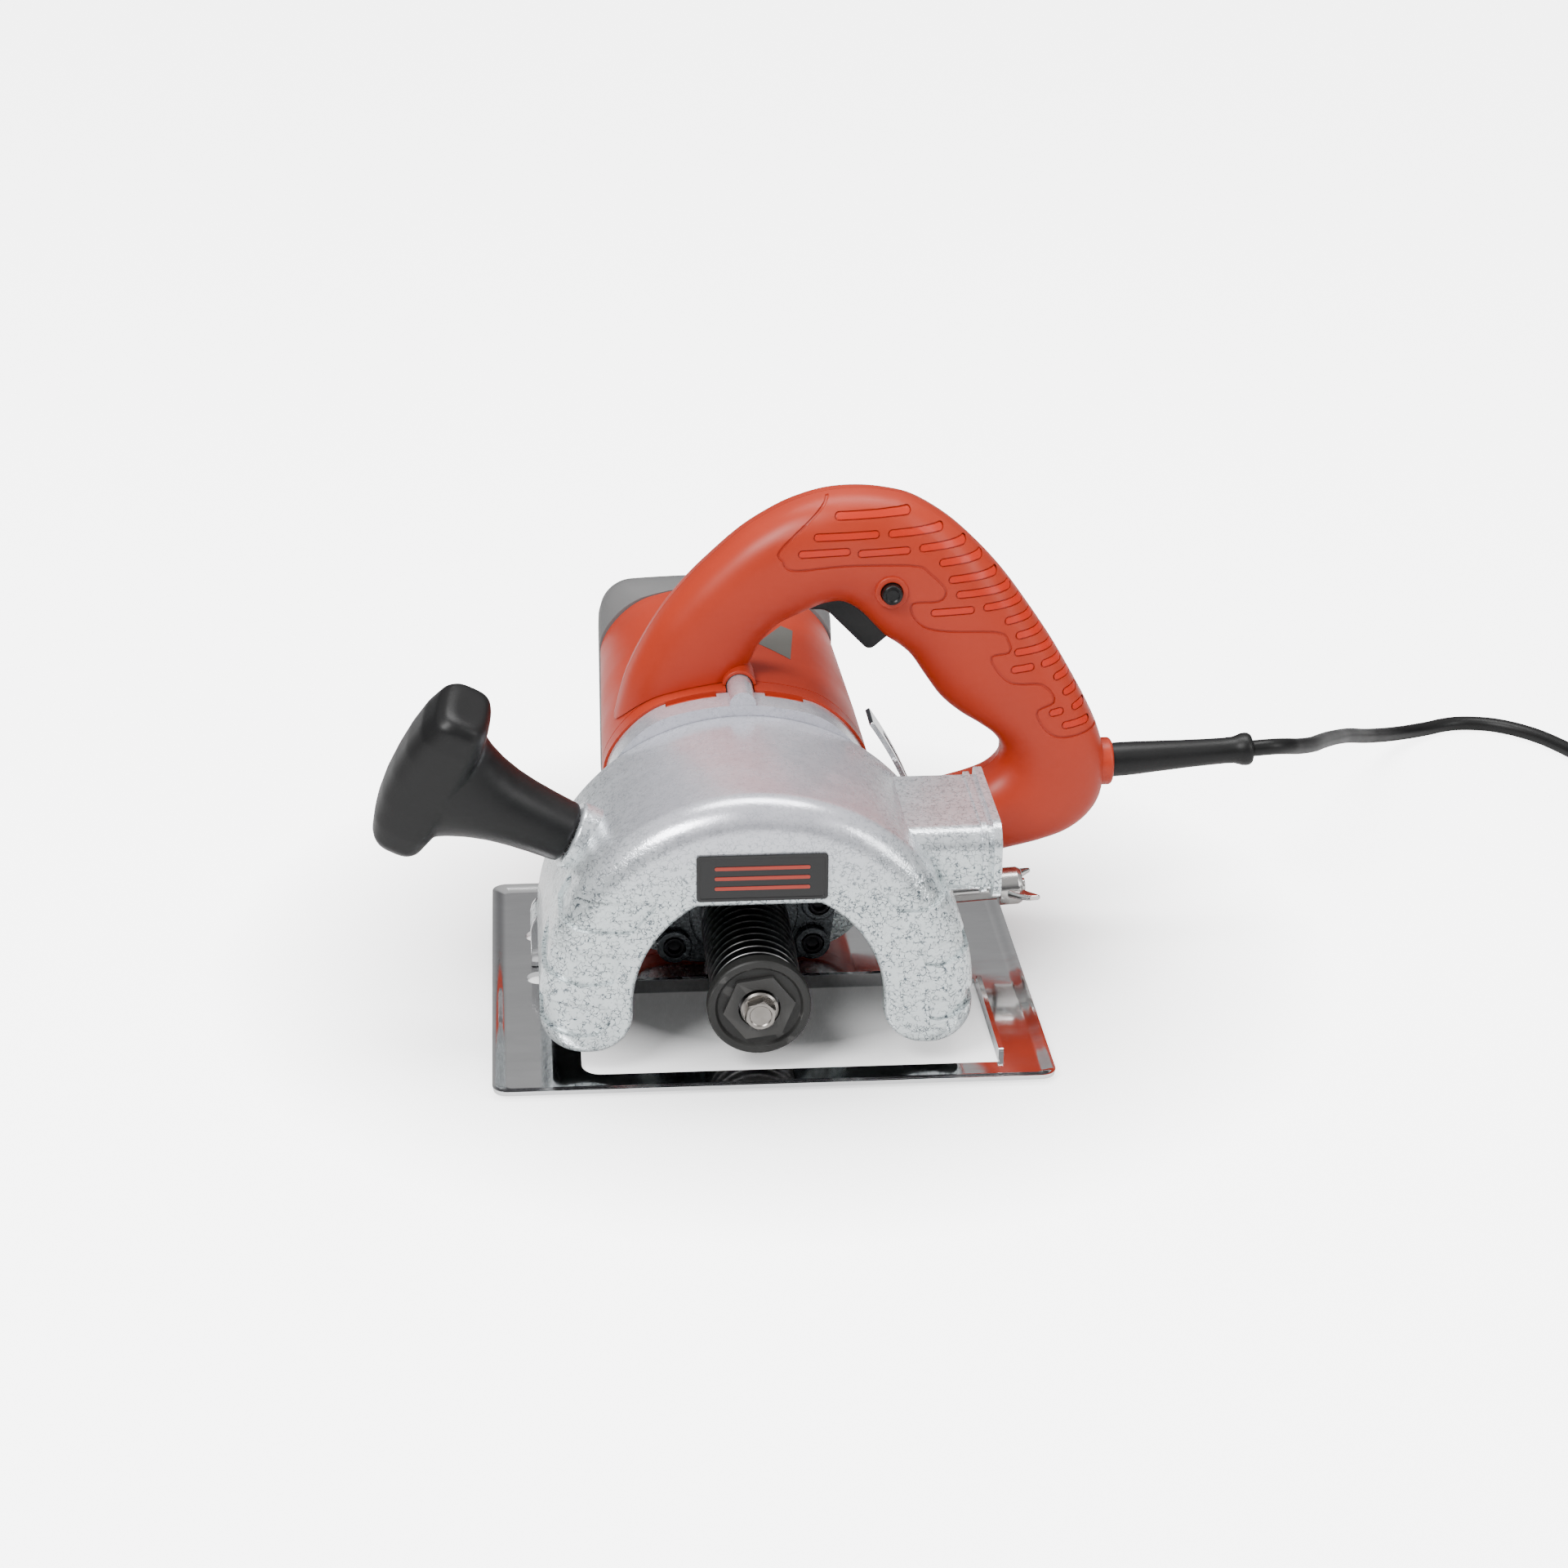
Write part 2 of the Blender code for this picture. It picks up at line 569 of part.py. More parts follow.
def cover_circles(grow=0.0):
    return ([(0, SPINDLE_Z, 25.0 * mm + grow), (MOTOR_X, MOTOR_Z - 3 * mm, 20 * mm + grow)]
            + [(x, z, 7.5 * mm + grow) for x, z in COVER_SCREWS])


def make_gear_case(head, clamp_start, clamp_direction):
    """Cast case behind the hood: gear chamber, bearing seats, pivot lug and clamp lug."""
    slab = prism("gear_case", [case_section(CASE_HALF_WIDTH - 1 * mm, CASE_HALF_HEIGHT - 1 * mm,
                                            CASE_CORNER)], GAP, COLLAR_BACK)
    hollow = tool(prism("gear_case_hollow", [case_section(
        CASE_HALF_WIDTH - 6 * mm, CASE_HALF_HEIGHT - 6 * mm, CASE_CORNER - 5 * mm)], 5 * mm, 40 * mm))
    chamber_wall = tool(prism("chamber_wall", [belt([(0, SPINDLE_Z, 25.7 * mm), (MOTOR_X, MOTOR_Z, 19 * mm)], 24)],
                              0.4 * mm, 14.9 * mm))
    seats = [tool(rod("spindle_seat_boss", 16 * mm, 13.6 * mm, 22 * mm, (0, 0, SPINDLE_Z))),
             tool(rod("armature_seat_boss", 19 * mm, 13.6 * mm, 24 * mm, (MOTOR_X, 0, MOTOR_Z)))]
    lug = tool(prism("pivot_lug", [belt([(PIVOT_X, PIVOT_Z, 9 * mm), (-46 * mm, 34 * mm, 9 * mm)])],
                     6 * mm, 20.5 * mm))
    lug_root = tool(box("pivot_lug_root", (-62 * mm, 3 * mm, 24 * mm), (-46 * mm, 20.5 * mm, 50 * mm)))
    block = tool(box("clamp_lug", (44 * mm, 2.5 * mm, 19 * mm), (78.9 * mm, 19.5 * mm, 36 * mm)))
    sleeve = tool(prism("housing_sleeve_room", [case_section(CASE_HALF_WIDTH + GAP, CASE_HALF_HEIGHT + GAP,
                                                             CASE_CORNER)], COLLAR_BACK, 60 * mm))
    ridge = tool(rod("crest_ridge", 6.5 * mm, 0.5 * mm, 38 * mm, (0, 0, MOTOR_Z + CASE_HALF_HEIGHT - 2 * mm)))
    chamber = tool(prism("gear_chamber", [belt([(0, SPINDLE_Z, 23.2 * mm), (MOTOR_X, MOTOR_Z, 15.8 * mm)], 24)],
                         -3 * mm, 13 * mm))
    bores = [tool(rod("spindle_seat", 13 * mm + GAP, 10 * mm, 19 * mm, (0, 0, SPINDLE_Z))),
             tool(rod("armature_seat", 16 * mm + GAP, 13.5 * mm, 30 * mm, (MOTOR_X, 0, MOTOR_Z))),
             tool(rod("armature_passage", 9 * mm, 8 * mm, 30 * mm, (MOTOR_X, 0, MOTOR_Z))),
             tool(rod("pivot_bore", PIN_RADIUS + RUNNING, 0, 30 * mm, (PIVOT_X, 0, PIVOT_Z))),
             tool(rod("clamp_bore", 3.3 * mm, 144 * mm, 170 * mm, clamp_start, clamp_direction, 20))]
    case = slab
    cut(case, hollow)
    join(case, lug_root, lug, block)
    cut(case, sleeve)
    join(case, chamber_wall, *seats, ridge)
    cut(case, chamber, *bores)
    for i, (x, z) in enumerate(COVER_SCREWS):
        cut(case, tool(rod(f"case_thread_{i + 1}", 2.6 * mm, -2 * mm, 11.5 * mm, (x, 0, z), REAR, 10)))
    return finish(case, "hammered_aluminium", head)


def make_gear_cover(head):
    """Front cover of the gear chamber, with the ring that holds the front spindle bearing."""
    cover = prism("gear_cover", [belt(cover_circles())], -5 * mm, -GAP)
    boss = tool(rod("cover_boss", 22.8 * mm, -9 * mm, -2 * mm, (0, 0, SPINDLE_Z)))
    join(cover, boss)
    cut(cover, tool(rod("bearing_seat", 20 * mm + GAP, -7.5 * mm, 4 * mm, (0, 0, SPINDLE_Z))),
        tool(rod("nose_opening", 17.6 * mm, -12 * mm, 4 * mm, (0, 0, SPINDLE_Z))))
    for i, (x, z) in enumerate(COVER_SCREWS):
        pad = tool(rod(f"screw_pad_{i + 1}", 7.4 * mm, -8.5 * mm, -2 * mm, (x, 0, z), REAR, 16))
        hole = [(0, 3), (2.7, 3), (2.7, -4.2), (4.9, -4.2), (4.9, -12), (0, -12)]
        pocket = tool(turned(f"screw_pocket_{i + 1}", [(r * mm, h * mm) for r, h in hole], (x, 0, z), REAR, 12))
        join(cover, pad)
        cut(cover, pocket)
    finish(cover, "hammered_aluminium", head)
    for i, (x, z) in enumerate(COVER_SCREWS):
        head_profile = [(0, 10), (2.4, 10), (2.4, -4.5), (4.25, -4.5), (4.25, -8.9), (2.3, -8.9),
                        (2.3, -5.9), (0, -5.9)]
        screw = turned(f"cover_screw_{i + 1}", [(r * mm, h * mm) for r, h in head_profile], (x, 0, z), REAR, 12)
        finish(screw, "blackened_steel", head)


def gear_outline(teeth, phase_deg, backlash=0.16 * mm):
    """A straight-flanked spur gear outline about the origin, with involute-like tapering teeth."""
    pitch = teeth * MODULE / 2
    tooth = math.pi * MODULE / 2 - backlash
    points = []
    for i in range(teeth):
        middle = math.radians(phase_deg) + 2 * math.pi * i / teeth
        root, tip = pitch - 1.2 * MODULE, pitch + 0.85 * MODULE
        wide, narrow = tooth + 0.62 * MODULE, tooth - 0.72 * MODULE
        points += [(root, middle - wide / 2 / root), (tip, middle - narrow / 2 / tip),
                   (tip, middle + narrow / 2 / tip), (root, middle + wide / 2 / root)]
    return [(r * math.cos(a), r * math.sin(a)) for r, a in points]


def toothed(name, teeth, phase_deg, x, z, low, high, bore):
    """A spur gear on an axis along Y, bored for its shaft."""
    outline = [(x + u, z + v) for u, v in gear_outline(teeth, phase_deg)]
    gear = prism(name, [outline], low, high)
    return cut(gear, tool(rod(name + "_bore", bore, low - 2 * mm, high + 2 * mm, (x, 0, z))))


def make_spindle_group(spin):
    """Everything that turns with the spindle: gear, flanges, spacers and the clamping bolt."""
    centre = (0, 0, SPINDLE_Z)
    shaft_profile = [(0, 18.5), (4.95, 18.5), (4.95, 12.6), (7.9, 12.6), (7.9, 2.0), (8.44, 2.0),
                     (8.44, -12.3), (7.9, -12.3), (7.9, -88.0), (4.2, -88.0), (4.2, -60.0), (0, -60.0)]
    shaft = turned("spindle", [(r * mm, h * mm) for r, h in shaft_profile], centre)
    finish(shaft, "blackened_steel", spin)
    line = math.degrees(math.atan2(MOTOR_Z - SPINDLE_Z, MOTOR_X))
    gear = toothed("driven_gear", GEAR_TEETH, line, 0, SPINDLE_Z, 2.3 * mm, 11.8 * mm, 8.2 * mm)
    finish(gear, "bearing_steel", spin)
    inner = ring("inner_flange", 17.2 * mm, 8.2 * mm, -17.7 * mm, -12.6 * mm, centre)
    finish(inner, "blackened_steel", spin)
    pitch = 8.46 * mm
    for i in range(8):
        low = -18 * mm - (i + 1) * pitch + GAP
        high = low + pitch - GAP
        spacer = ring(f"blade_spacer_{i + 1}", 18.3 * mm, 8.2 * mm, low, high, centre, REAR, 24)
        finish(spacer, "blackened_steel", spin)
    disc_profile = [(20.5, -86.2), (20.5, -91.0), (19.7, -92.0), (17.6, -92.0), (16.8, -90.6), (8.3, -90.6),
                    (8.3, -86.2)]
    disc = turned("outer_flange", [(r * mm, h * mm) for r, h in disc_profile], centre, REAR, 28)
    hexagon = tool(prism("flange_hexagon", [[(x, SPINDLE_Z + z) for x, z in arc((0, 0), 14.2 * mm, 8, 308, 5)]],
                         -92.6 * mm, -89.0 * mm))
    join(disc, hexagon)
    cut(disc, tool(rod("flange_hole", 8.3 * mm, -95 * mm, -80 * mm, centre)))
    finish(disc, "blackened_steel", spin)
    bolt_profile = [(0, -61), (3.95, -61), (3.95, -92.9), (7.85, -92.9), (7.85, -93.8), (6.6, -94.6), (0, -94.6)]
    bolt = turned("flange_bolt", [(r * mm, h * mm) for r, h in bolt_profile], centre)
    bolt_head = tool(prism("bolt_hexagon", [[(x, SPINDLE_Z + z) for x, z in arc((0, 0), 6.9 * mm, 20, 320, 5)]],
                           -101.0 * mm, -94.0 * mm))
    join(bolt, bolt_head)
    finish(bolt, "stainless_steel", spin)


def make_bearings(head):
    """Ball bearings as closed rings in their seats."""
    for name, outer, inner, low, high, x, z in (
            ("spindle_front_bearing", 20.0, 8.5, -7.2, 1.7, 0, SPINDLE_Z),
            ("spindle_rear_bearing", 13.0, 5.0, 13.3, 18.7, 0, SPINDLE_Z),
            ("armature_front_bearing", 16.0, 6.0, 13.8, 23.6, MOTOR_X, MOTOR_Z),
            ("armature_rear_bearing", 11.0, 4.0, 139.5, 146.5, MOTOR_X, MOTOR_Z)):
        bearing = ring(name, outer * mm, inner * mm, low * mm, high * mm, (x, 0, z), REAR, 32)
        finish(bearing, "bearing_steel", head)


# ---------------------------------------------------------------- motor

def make_motor_housing(head):
    """Moulded housing: a rounded square sleeve with a seat for the stator and the brushes."""
    rows = [(15.3, 0.0), (22.0, 0.0), (60.0, 0.6), (120.0, 2.2), (148.7, 3.0)]
    housing = loft("motor_housing", [[(x, y * mm, z) for x, z in case_section(
        CASE_HALF_WIDTH - inset * mm, CASE_HALF_HEIGHT - inset * mm, CASE_CORNER - inset * mm)]
        for y, inset in rows])
    hollow = tool(loft("housing_hollow", [[(x, y * mm, z) for x, z in case_section(
        CASE_HALF_WIDTH - inset * mm, CASE_HALF_HEIGHT - inset * mm, CASE_CORNER - inset * mm)]
        for y, inset in ((10.0, 3.0), (60.0, 3.6), (131.0, 5.6))]))
    carrier = tool(rod("rear_bearing_bore", 11 * mm + GAP, 139 * mm, 160 * mm, (MOTOR_X, 0, MOTOR_Z)))
    passage = tool(rod("rear_passage", 9 * mm, 120 * mm, 160 * mm, (MOTOR_X, 0, MOTOR_Z)))
    ridge_room = tool(rod("ridge_room", 6.9 * mm, 0, 39 * mm, (0, 0, MOTOR_Z + CASE_HALF_HEIGHT - 2 * mm)))
    cut(housing, hollow, carrier, passage, ridge_room)
    for i, angle in enumerate((35, 90, 145, 215, 270, 325)):
        x = MOTOR_X + 34 * mm * math.cos(math.radians(angle))
        z = MOTOR_Z + 34 * mm * math.sin(math.radians(angle))
        cut(housing, tool(rod(f"air_hole_{i + 1}", 8 * mm, 125 * mm, 155 * mm, (x, 0, z), REAR, 12)))
    return finish(housing, "orange_plastic", head)


def make_end_cap(head):
    """Rear cap with a domed back, air slots and two screws."""
    rows = [(149.0, 3.0), (160.0, 3.6), (168.0, 5.6), (173.0, 9.0), (176.0, 15.0)]
    cap = loft("end_cap", [[(x, y * mm, z) for x, z in case_section(
        CASE_HALF_WIDTH - inset * mm, CASE_HALF_HEIGHT - inset * mm, CASE_CORNER - inset * 0.8 * mm)]
        for y, inset in rows])
    hollow = tool(loft("cap_hollow", [[(x, y * mm, z) for x, z in case_section(
        CASE_HALF_WIDTH - inset * mm, CASE_HALF_HEIGHT - inset * mm, CASE_CORNER - inset * 0.8 * mm)]
        for y, inset in ((145.0, 6.0), (160.0, 6.6), (168.0, 9.0), (172.5, 16.0))]))
    cut(cap, hollow)
    for i in range(5):
        z = MOTOR_Z + (i - 2) * 12 * mm
        cut(cap, tool(box(f"air_slot_{i + 1}", (MOTOR_X - 26 * mm, 160 * mm, z - 2.2 * mm),
                          (MOTOR_X + 26 * mm, 185 * mm, z + 2.2 * mm))))
    finish(cap, "grey_plastic", head)


def make_motor_inside(head):
    """Stator, brush holders and brushes, fixed in the housing."""
    axis = (MOTOR_X, 0, MOTOR_Z)
    stator = ring("stator", 46 * mm, 27.5 * mm, 44 * mm, 98 * mm, axis, REAR, 24)
    finish(stator, "laminated_steel", head)
    for side, name in ((-1, "left"), (1, "right")):
        x0 = MOTOR_X + side * 16.0 * mm
        x1 = MOTOR_X + side * 32.0 * mm
        brush = box("carbon_brush_" + name, (min(x0, x1), 113 * mm, MOTOR_Z - 4 * mm),
                    (max(x0, x1), 121 * mm, MOTOR_Z + 4 * mm))
        finish(brush, "carbon", head)
        outer = rounded_rectangle(110 * mm, 124 * mm, MOTOR_Z - 7 * mm, MOTOR_Z + 7 * mm, 1.5 * mm, 2)
        inner = rounded_rectangle(112.7 * mm, 121.3 * mm, MOTOR_Z - 4.3 * mm, MOTOR_Z + 4.3 * mm, 0.4 * mm, 2)
        near, far = MOTOR_X + side * 20 * mm, MOTOR_X + side * 44 * mm
        holder = prism("brush_holder_" + name, [outer, inner], min(near, far), max(near, far), along="X")
        finish(holder, "brass", head)


def make_armature(spin):
    """The motor's turning parts: shaft, laminated core, commutator, fan and pinion."""
    axis = (MOTOR_X, 0, MOTOR_Z)
    profile = [(0, 147), (3.95, 147), (3.95, 138), (5.95, 138), (5.95, 13), (4.9, 13), (4.9, 1.2), (0, 1.2)]
    finish(turned("armature_shaft", [(r * mm, h * mm) for r, h in profile], axis), "bearing_steel", spin)
    slots = []
    for i in range(12):
        middle = 360 * i / 12
        slots += arc((MOTOR_X, MOTOR_Z), 26.6 * mm, middle - 12, middle + 12, 3)
        slots += arc((MOTOR_X, MOTOR_Z), 22.0 * mm, middle + 13.2, middle + 16.8, 1)
    core = prism("armature_core", [slots], 46 * mm, 96 * mm)
    cut(core, tool(rod("core_bore", 6.25 * mm, 40 * mm, 110 * mm, axis)))
    finish(core, "laminated_steel", spin)
    finish(ring("commutator", 15.5 * mm, 6.25 * mm, 106 * mm, 127 * mm, axis, REAR, 24), "copper", spin)
    fan_profile = [(41, 39), (41, 37.6), (12, 35.0), (12, 29), (6.25, 29), (6.25, 39)]
    fan = turned("cooling_fan", [(r * mm, h * mm) for r, h in fan_profile], axis, REAR, 28)
    for i in range(9):
        blade = box(f"fan_blade_{i + 1}", (11 * mm, 30.5 * mm, -0.9 * mm), (39 * mm, 38.6 * mm, 0.9 * mm))
        bladed = blade.data
        for vertex in bladed.vertices:
            vertex.co += blade.location
        blade.location = axis
        blade.rotation_euler = (0, 2 * math.pi * i / 9, 0)
        join(fan, tool(blade))
    finish(fan, "black_plastic", spin)
    line = math.degrees(math.atan2(SPINDLE_Z - MOTOR_Z, -MOTOR_X))
    pinion = toothed("pinion", PINION_TEETH, line + 180 / PINION_TEETH, MOTOR_X, MOTOR_Z, 1.6 * mm, 12.6 * mm,
                     5.2 * mm)
    finish(pinion, "bearing_steel", spin)


# ---------------------------------------------------------------- D-handle

OUTER_SIDE = [(-52, 99), (-46, 121), (-34.6, 143), (-22.5, 159), (-10.7, 171), (2.5, 182.5), (16.2, 191),
              (27, 195.6), (38, 198.4), (49.8, 199.1), (61.5, 198), (73.4, 194.7), (88, 185.5), (101.3, 173.2),
              (112.5, 160.5), (122.9, 146.2), (132.8, 131.3), (141.5, 116.4), (149, 102.5), (154.6, 89.8),
              (157.6, 76), (156.5, 62), (151.5, 52.5), (143, 45.5), (131, 41), (116.5, 37.5), (98, 33), (78, 28),
              (48, 21)]
INNER_SIDE = [(6, 100), (4.7, 121), (7, 128.5), (10, 134.5), (14, 139.3), (18.5, 143), (24.5, 145.8),
              (30.5, 148.6), (37, 151), (44, 151.2), (51, 147), (57, 140.5), (62, 135.2), (67.5, 131.6), (73, 126.5),
              (79, 117.5), (85.5, 108.3), (93, 101.5), (101, 96.5), (108, 91.3), (112.3, 85.3), (112.6, 79.5),
              (109.9, 75.3), (105.5, 72), (100, 69.6), (93, 67.4), (84, 65.2), (72, 63), (48, 59)]
TRIGGER_PIVOT = Vector((30 * mm, HANDLE_Y, 152.5 * mm))
BUTTON_PLACE = Vector((62.7 * mm, HANDLE_Y, 159.5 * mm))


def shell_sections(side):
    """Half of the D-handle's wall: closed C-shaped sections from the outer to the inner side."""
    steps, fullness = 6, 2.6
    parting = HANDLE_Y + side * GAP / 2
    rows = []
    for (ox, oz), (ix, iz) in zip(OUTER_SIDE, INNER_SIDE):
        outer, inner = Vector((ox, 0, oz)) * mm, Vector((ix, 0, iz)) * mm
        middle, reach = (outer + inner) / 2, (outer - inner) / 2
        row = []
        for wall, order in ((0.0, range(steps + 1)), (HANDLE_WALL, range(steps, -1, -1))):
            for k in order:
                angle = math.pi * k / steps
                across = math.copysign(abs(math.cos(angle)) ** (2 / fullness), math.cos(angle))
                depth = abs(math.sin(angle)) ** (2 / fullness) if 0 < k < steps else 0.0
                point = middle + reach * (across * (1 - wall / reach.length))
                point.y = parting + side * (HANDLE_HALF - wall) * depth
                row.append(point)
        rows.append(row)
    return rows


def make_handle_shell(name, side, head):
    """One half of the D-handle, open at the parting plane."""
    shell = loft(name, shell_sections(side))
    far_side = tool(box(name + "_parting", (100 * mm, HANDLE_Y + side * GAP / 2, 40 * mm),
                        (200 * mm, HANDLE_Y - side * 80 * mm, 110 * mm)))
    boss = tool(rod(name + "_cord_boss", 10.2 * mm, 150 * mm, 161 * mm,
                    (0, HANDLE_Y, 74 * mm), Vector((1, 0, 0)), 24))
    cut(boss, far_side)
    guard_seat = tool(rod(name + "_guard_seat", 7.7 * mm, 130 * mm, 170 * mm,
                          (0, HANDLE_Y, 74 * mm), Vector((1, 0, 0)), 24))
    housing_room = tool(prism(name + "_housing_room", [case_section(
        CASE_HALF_WIDTH + GAP, CASE_HALF_HEIGHT + GAP, CASE_CORNER)], 1 * mm, 90 * mm))
    trigger_room = tool(prism(name + "_trigger_room", [[(25.4 * mm, 139 * mm), (66 * mm, 127 * mm), (66 * mm, 146 * mm),
                                                        (52 * mm, 165 * mm), (25.4 * mm, 162 * mm)]],
                              HANDLE_Y - 6.5 * mm, HANDLE_Y + 6.5 * mm))
    ridge_room = tool(rod(name + "_ridge_room", 7.0 * mm, 0, 39 * mm,
                          (0, 0, MOTOR_Z + CASE_HALF_HEIGHT - 2 * mm), REAR, 20))
    join(shell, boss)
    cut(shell, guard_seat, housing_room, ridge_room, trigger_room)
    if side < 0:
        boss_ring = tool(ring("button_boss", 6.6 * mm, 4.6 * mm, -HANDLE_HALF - 0.8 * mm, -HANDLE_HALF + 2 * mm,
                              BUTTON_PLACE))
        join(shell, boss_ring)
        cut(shell, tool(rod("button_hole", 4.6 * mm, -30 * mm, -8 * mm, BUTTON_PLACE, REAR, 24)))
    else:
        for i, (x, z) in enumerate(((-12, 140), (88, 130))):
            cut(shell, tool(rod(f"screw_hole_{i + 1}", 3.6 * mm, 8 * mm, 30 * mm,
                                (x * mm, HANDLE_Y, z * mm), REAR, 16)))
    return finish(shell, "orange_plastic", head)


def make_handle_fittings(head):
    """Screws, switch and cord guard held in the D-handle."""
    for i, (x, z) in enumerate(((-12, 140), (88, 130))):
        profile = [(0, 16.6), (3.3, 16.6), (3.3, 14.0), (1.9, 14.0), (1.9, -8), (0, -8)]
        screw = turned(f"handle_screw_{i + 1}", [(r * mm, h * mm) for r, h in profile],
                       (x * mm, HANDLE_Y, z * mm), REAR, 14)
        finish(screw, "blackened_steel", head)
    switch = box("switch_body", (36 * mm, HANDLE_Y - 8.5 * mm, 166.5 * mm),
                 (70 * mm, HANDLE_Y + 8.5 * mm, 186 * mm), 1 * mm)
    finish(switch, "black_plastic", head)
    tilt = Vector((61.3, 0, 3.6)).normalized()
    profile = [(0, 0), (6.8, 0), (7.1, -1.2), (7.1, -8.6), (6.8, -9.8), (5.6, -10.2), (5.6, -16), (5.9, -20),
               (6.9, -40), (7.3, -61), (7.3, -68), (0, -68)]
    guard = turned("cord_guard", [(r * mm, h * mm) for r, h in profile], CORD_EXIT - tilt * GAP, tilt, 24)
    finish(guard, "rubber", head)


def make_trigger(head):
    """Black trigger that turns about a pin at its thin end."""
    swing = pivot("trigger_axis", TRIGGER_PIVOT, head)
    outline = [(26.5, 151), (30.5, 148.3), (36, 148.3), (41, 145.5), (46.5, 139), (51.5, 132.2), (54.2, 130.2),
               (57, 130.4), (61.6, 134.4), (63.2, 137), (60, 143.5), (55, 151.5), (48, 157.5), (38, 158.5),
               (29, 157.5)]
    trigger = prism("trigger", [[(x * mm, z * mm) for x, z in outline]], HANDLE_Y - 6 * mm, HANDLE_Y + 6 * mm)
    finish(trigger, "black_plastic", swing)


def make_lock_button(head):
    """Lock-on button that slides into the front of the handle."""
    slide = pivot("lock_button_axis", BUTTON_PLACE, head)
    profile = [(0, -10), (5.2, -10), (5.2, -12.0), (4.25, -12.0), (4.25, -21.5), (3.7, -22.3), (0, -22.3)]
    button = turned("lock_button", [(r * mm, h * mm) for r, h in profile], BUTTON_PLACE, REAR, 20)
    finish(button, "black_plastic", slide)


# ---------------------------------------------------------------- supply cord

CORD_ROUTE = [(222.8, 40, 78), (230, 40.2, 78.4), (237, 43.2, 77.2), (246, 53.5, 72.6), (256, 68, 67), (266, 89, 59.5),
              (279, 118, 48.5), (296, 152, 35), (315, 185, 20.5), (336, 212, 9.6), (356, 229, 4.4),
              (374, 237, 3.7), (393, 234, 3.7), (409, 221, 3.7), (420, 202, 3.7), (428, 180, 3.7),
              (433.5, 155, 3.7), (435.2, 130, 3.7)]
COIL_CENTRE = Vector((478.2 * mm, 105.0 * mm, 0))
COIL_INNER, COIL_OUTER, COIL_HEIGHT = 28.7 * mm, 46.6 * mm, 28.9 * mm
TAIL_ROUTE = [(434.0, 79.5, 20.9), (434.5, 70, 17.4), (435.0, 60, 14.5), (435.2, 50.3, 13.4)]


def make_supply_cord(head):
    """Cord from the guard down to the surface, then a coil, and a two-pin plug."""
    points = spline([Vector(p) * mm for p in CORD_ROUTE], 46)
    finish(tube("supply_cord", points, CORD_RADIUS), "rubber", head)
    coil = ring("cord_coil", COIL_OUTER, COIL_INNER, 0.1 * mm, COIL_HEIGHT, COIL_CENTRE, Vector((0, 0, 1)), 32)
    finish(coil, "rubber", head)
    finish(tube("cord_tail", spline([Vector(p) * mm for p in TAIL_ROUTE], 6), CORD_RADIUS), "rubber", head)
    x, start, body_z = (TAIL_ROUTE[-1][0] * mm, 50 * mm, 13.4 * mm)
    profile = [(0, 0), (4.4, 0), (6.2, -16), (7.2, -27), (0, -27)]
    plug = turned("plug_body", [(r * mm, h * mm) for r, h in profile], (x, start, body_z), REAR, 20)
    body = tool(prism("plug_block", [rounded([(x - 17.5 * mm, body_z - 13 * mm, 8 * mm),
                                              (x + 17.5 * mm, body_z - 13 * mm, 8 * mm),
                                              (x + 17.5 * mm, body_z + 13 * mm, 8 * mm),
                                              (x - 17.5 * mm, body_z + 13 * mm, 8 * mm)])],
                      start - 62 * mm, start - 24 * mm))
    join(plug, body)
    for name, side in (("left", -1), ("right", 1)):
        place = (x + side * 9.5 * mm, start - 62 * mm, body_z)
        cut(plug, tool(rod("pin_socket_" + name, 2.7 * mm, -1 * mm, 8.3 * mm, place, REAR, 16)))
        pin = turned("plug_pin_" + name, [(r * mm, h * mm) for r, h in (
            (0, 8), (2.4, 8), (2.4, -17.5), (1.4, -19), (0, -19))], place, REAR, 16)
        finish(pin, "brass", head)
    finish(plug, "rubber", head)


# ---------------------------------------------------------------- assembly

def main():
    clear_scene()
    head = pivot("depth_axis", (PIVOT_X, 12 * mm, PIVOT_Z))
    make_sole()
    make_hinge_bracket()
    make_hinge_pin()
    make_depth_strip()
    clamp_start, clamp_direction = make_clamp(head)
    make_hood(head, belt(cover_circles(1.2 * mm)))
    make_front_badge(head)
    make_side_handle(head)
    make_gear_case(head, clamp_start, clamp_direction)
    make_gear_cover(head)
    make_bearings(head)
    make_spindle_group(pivot("spindle_axis", (0, 0, SPINDLE_Z), head))
    make_motor_housing(head)
    make_end_cap(head)
    make_motor_inside(head)
    make_armature(pivot("armature_axis", (MOTOR_X, 0, MOTOR_Z), head))
    make_handle_shell("handle_front_shell", -1, head)
    make_handle_shell("handle_rear_shell", 1, head)
    make_handle_fittings(head)
    make_trigger(head)
    make_lock_button(head)
    make_supply_cord(head)


main()
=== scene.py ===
"""Wall chaser, finished: every visible piece of the machine, built around its fixed frame."""
import math

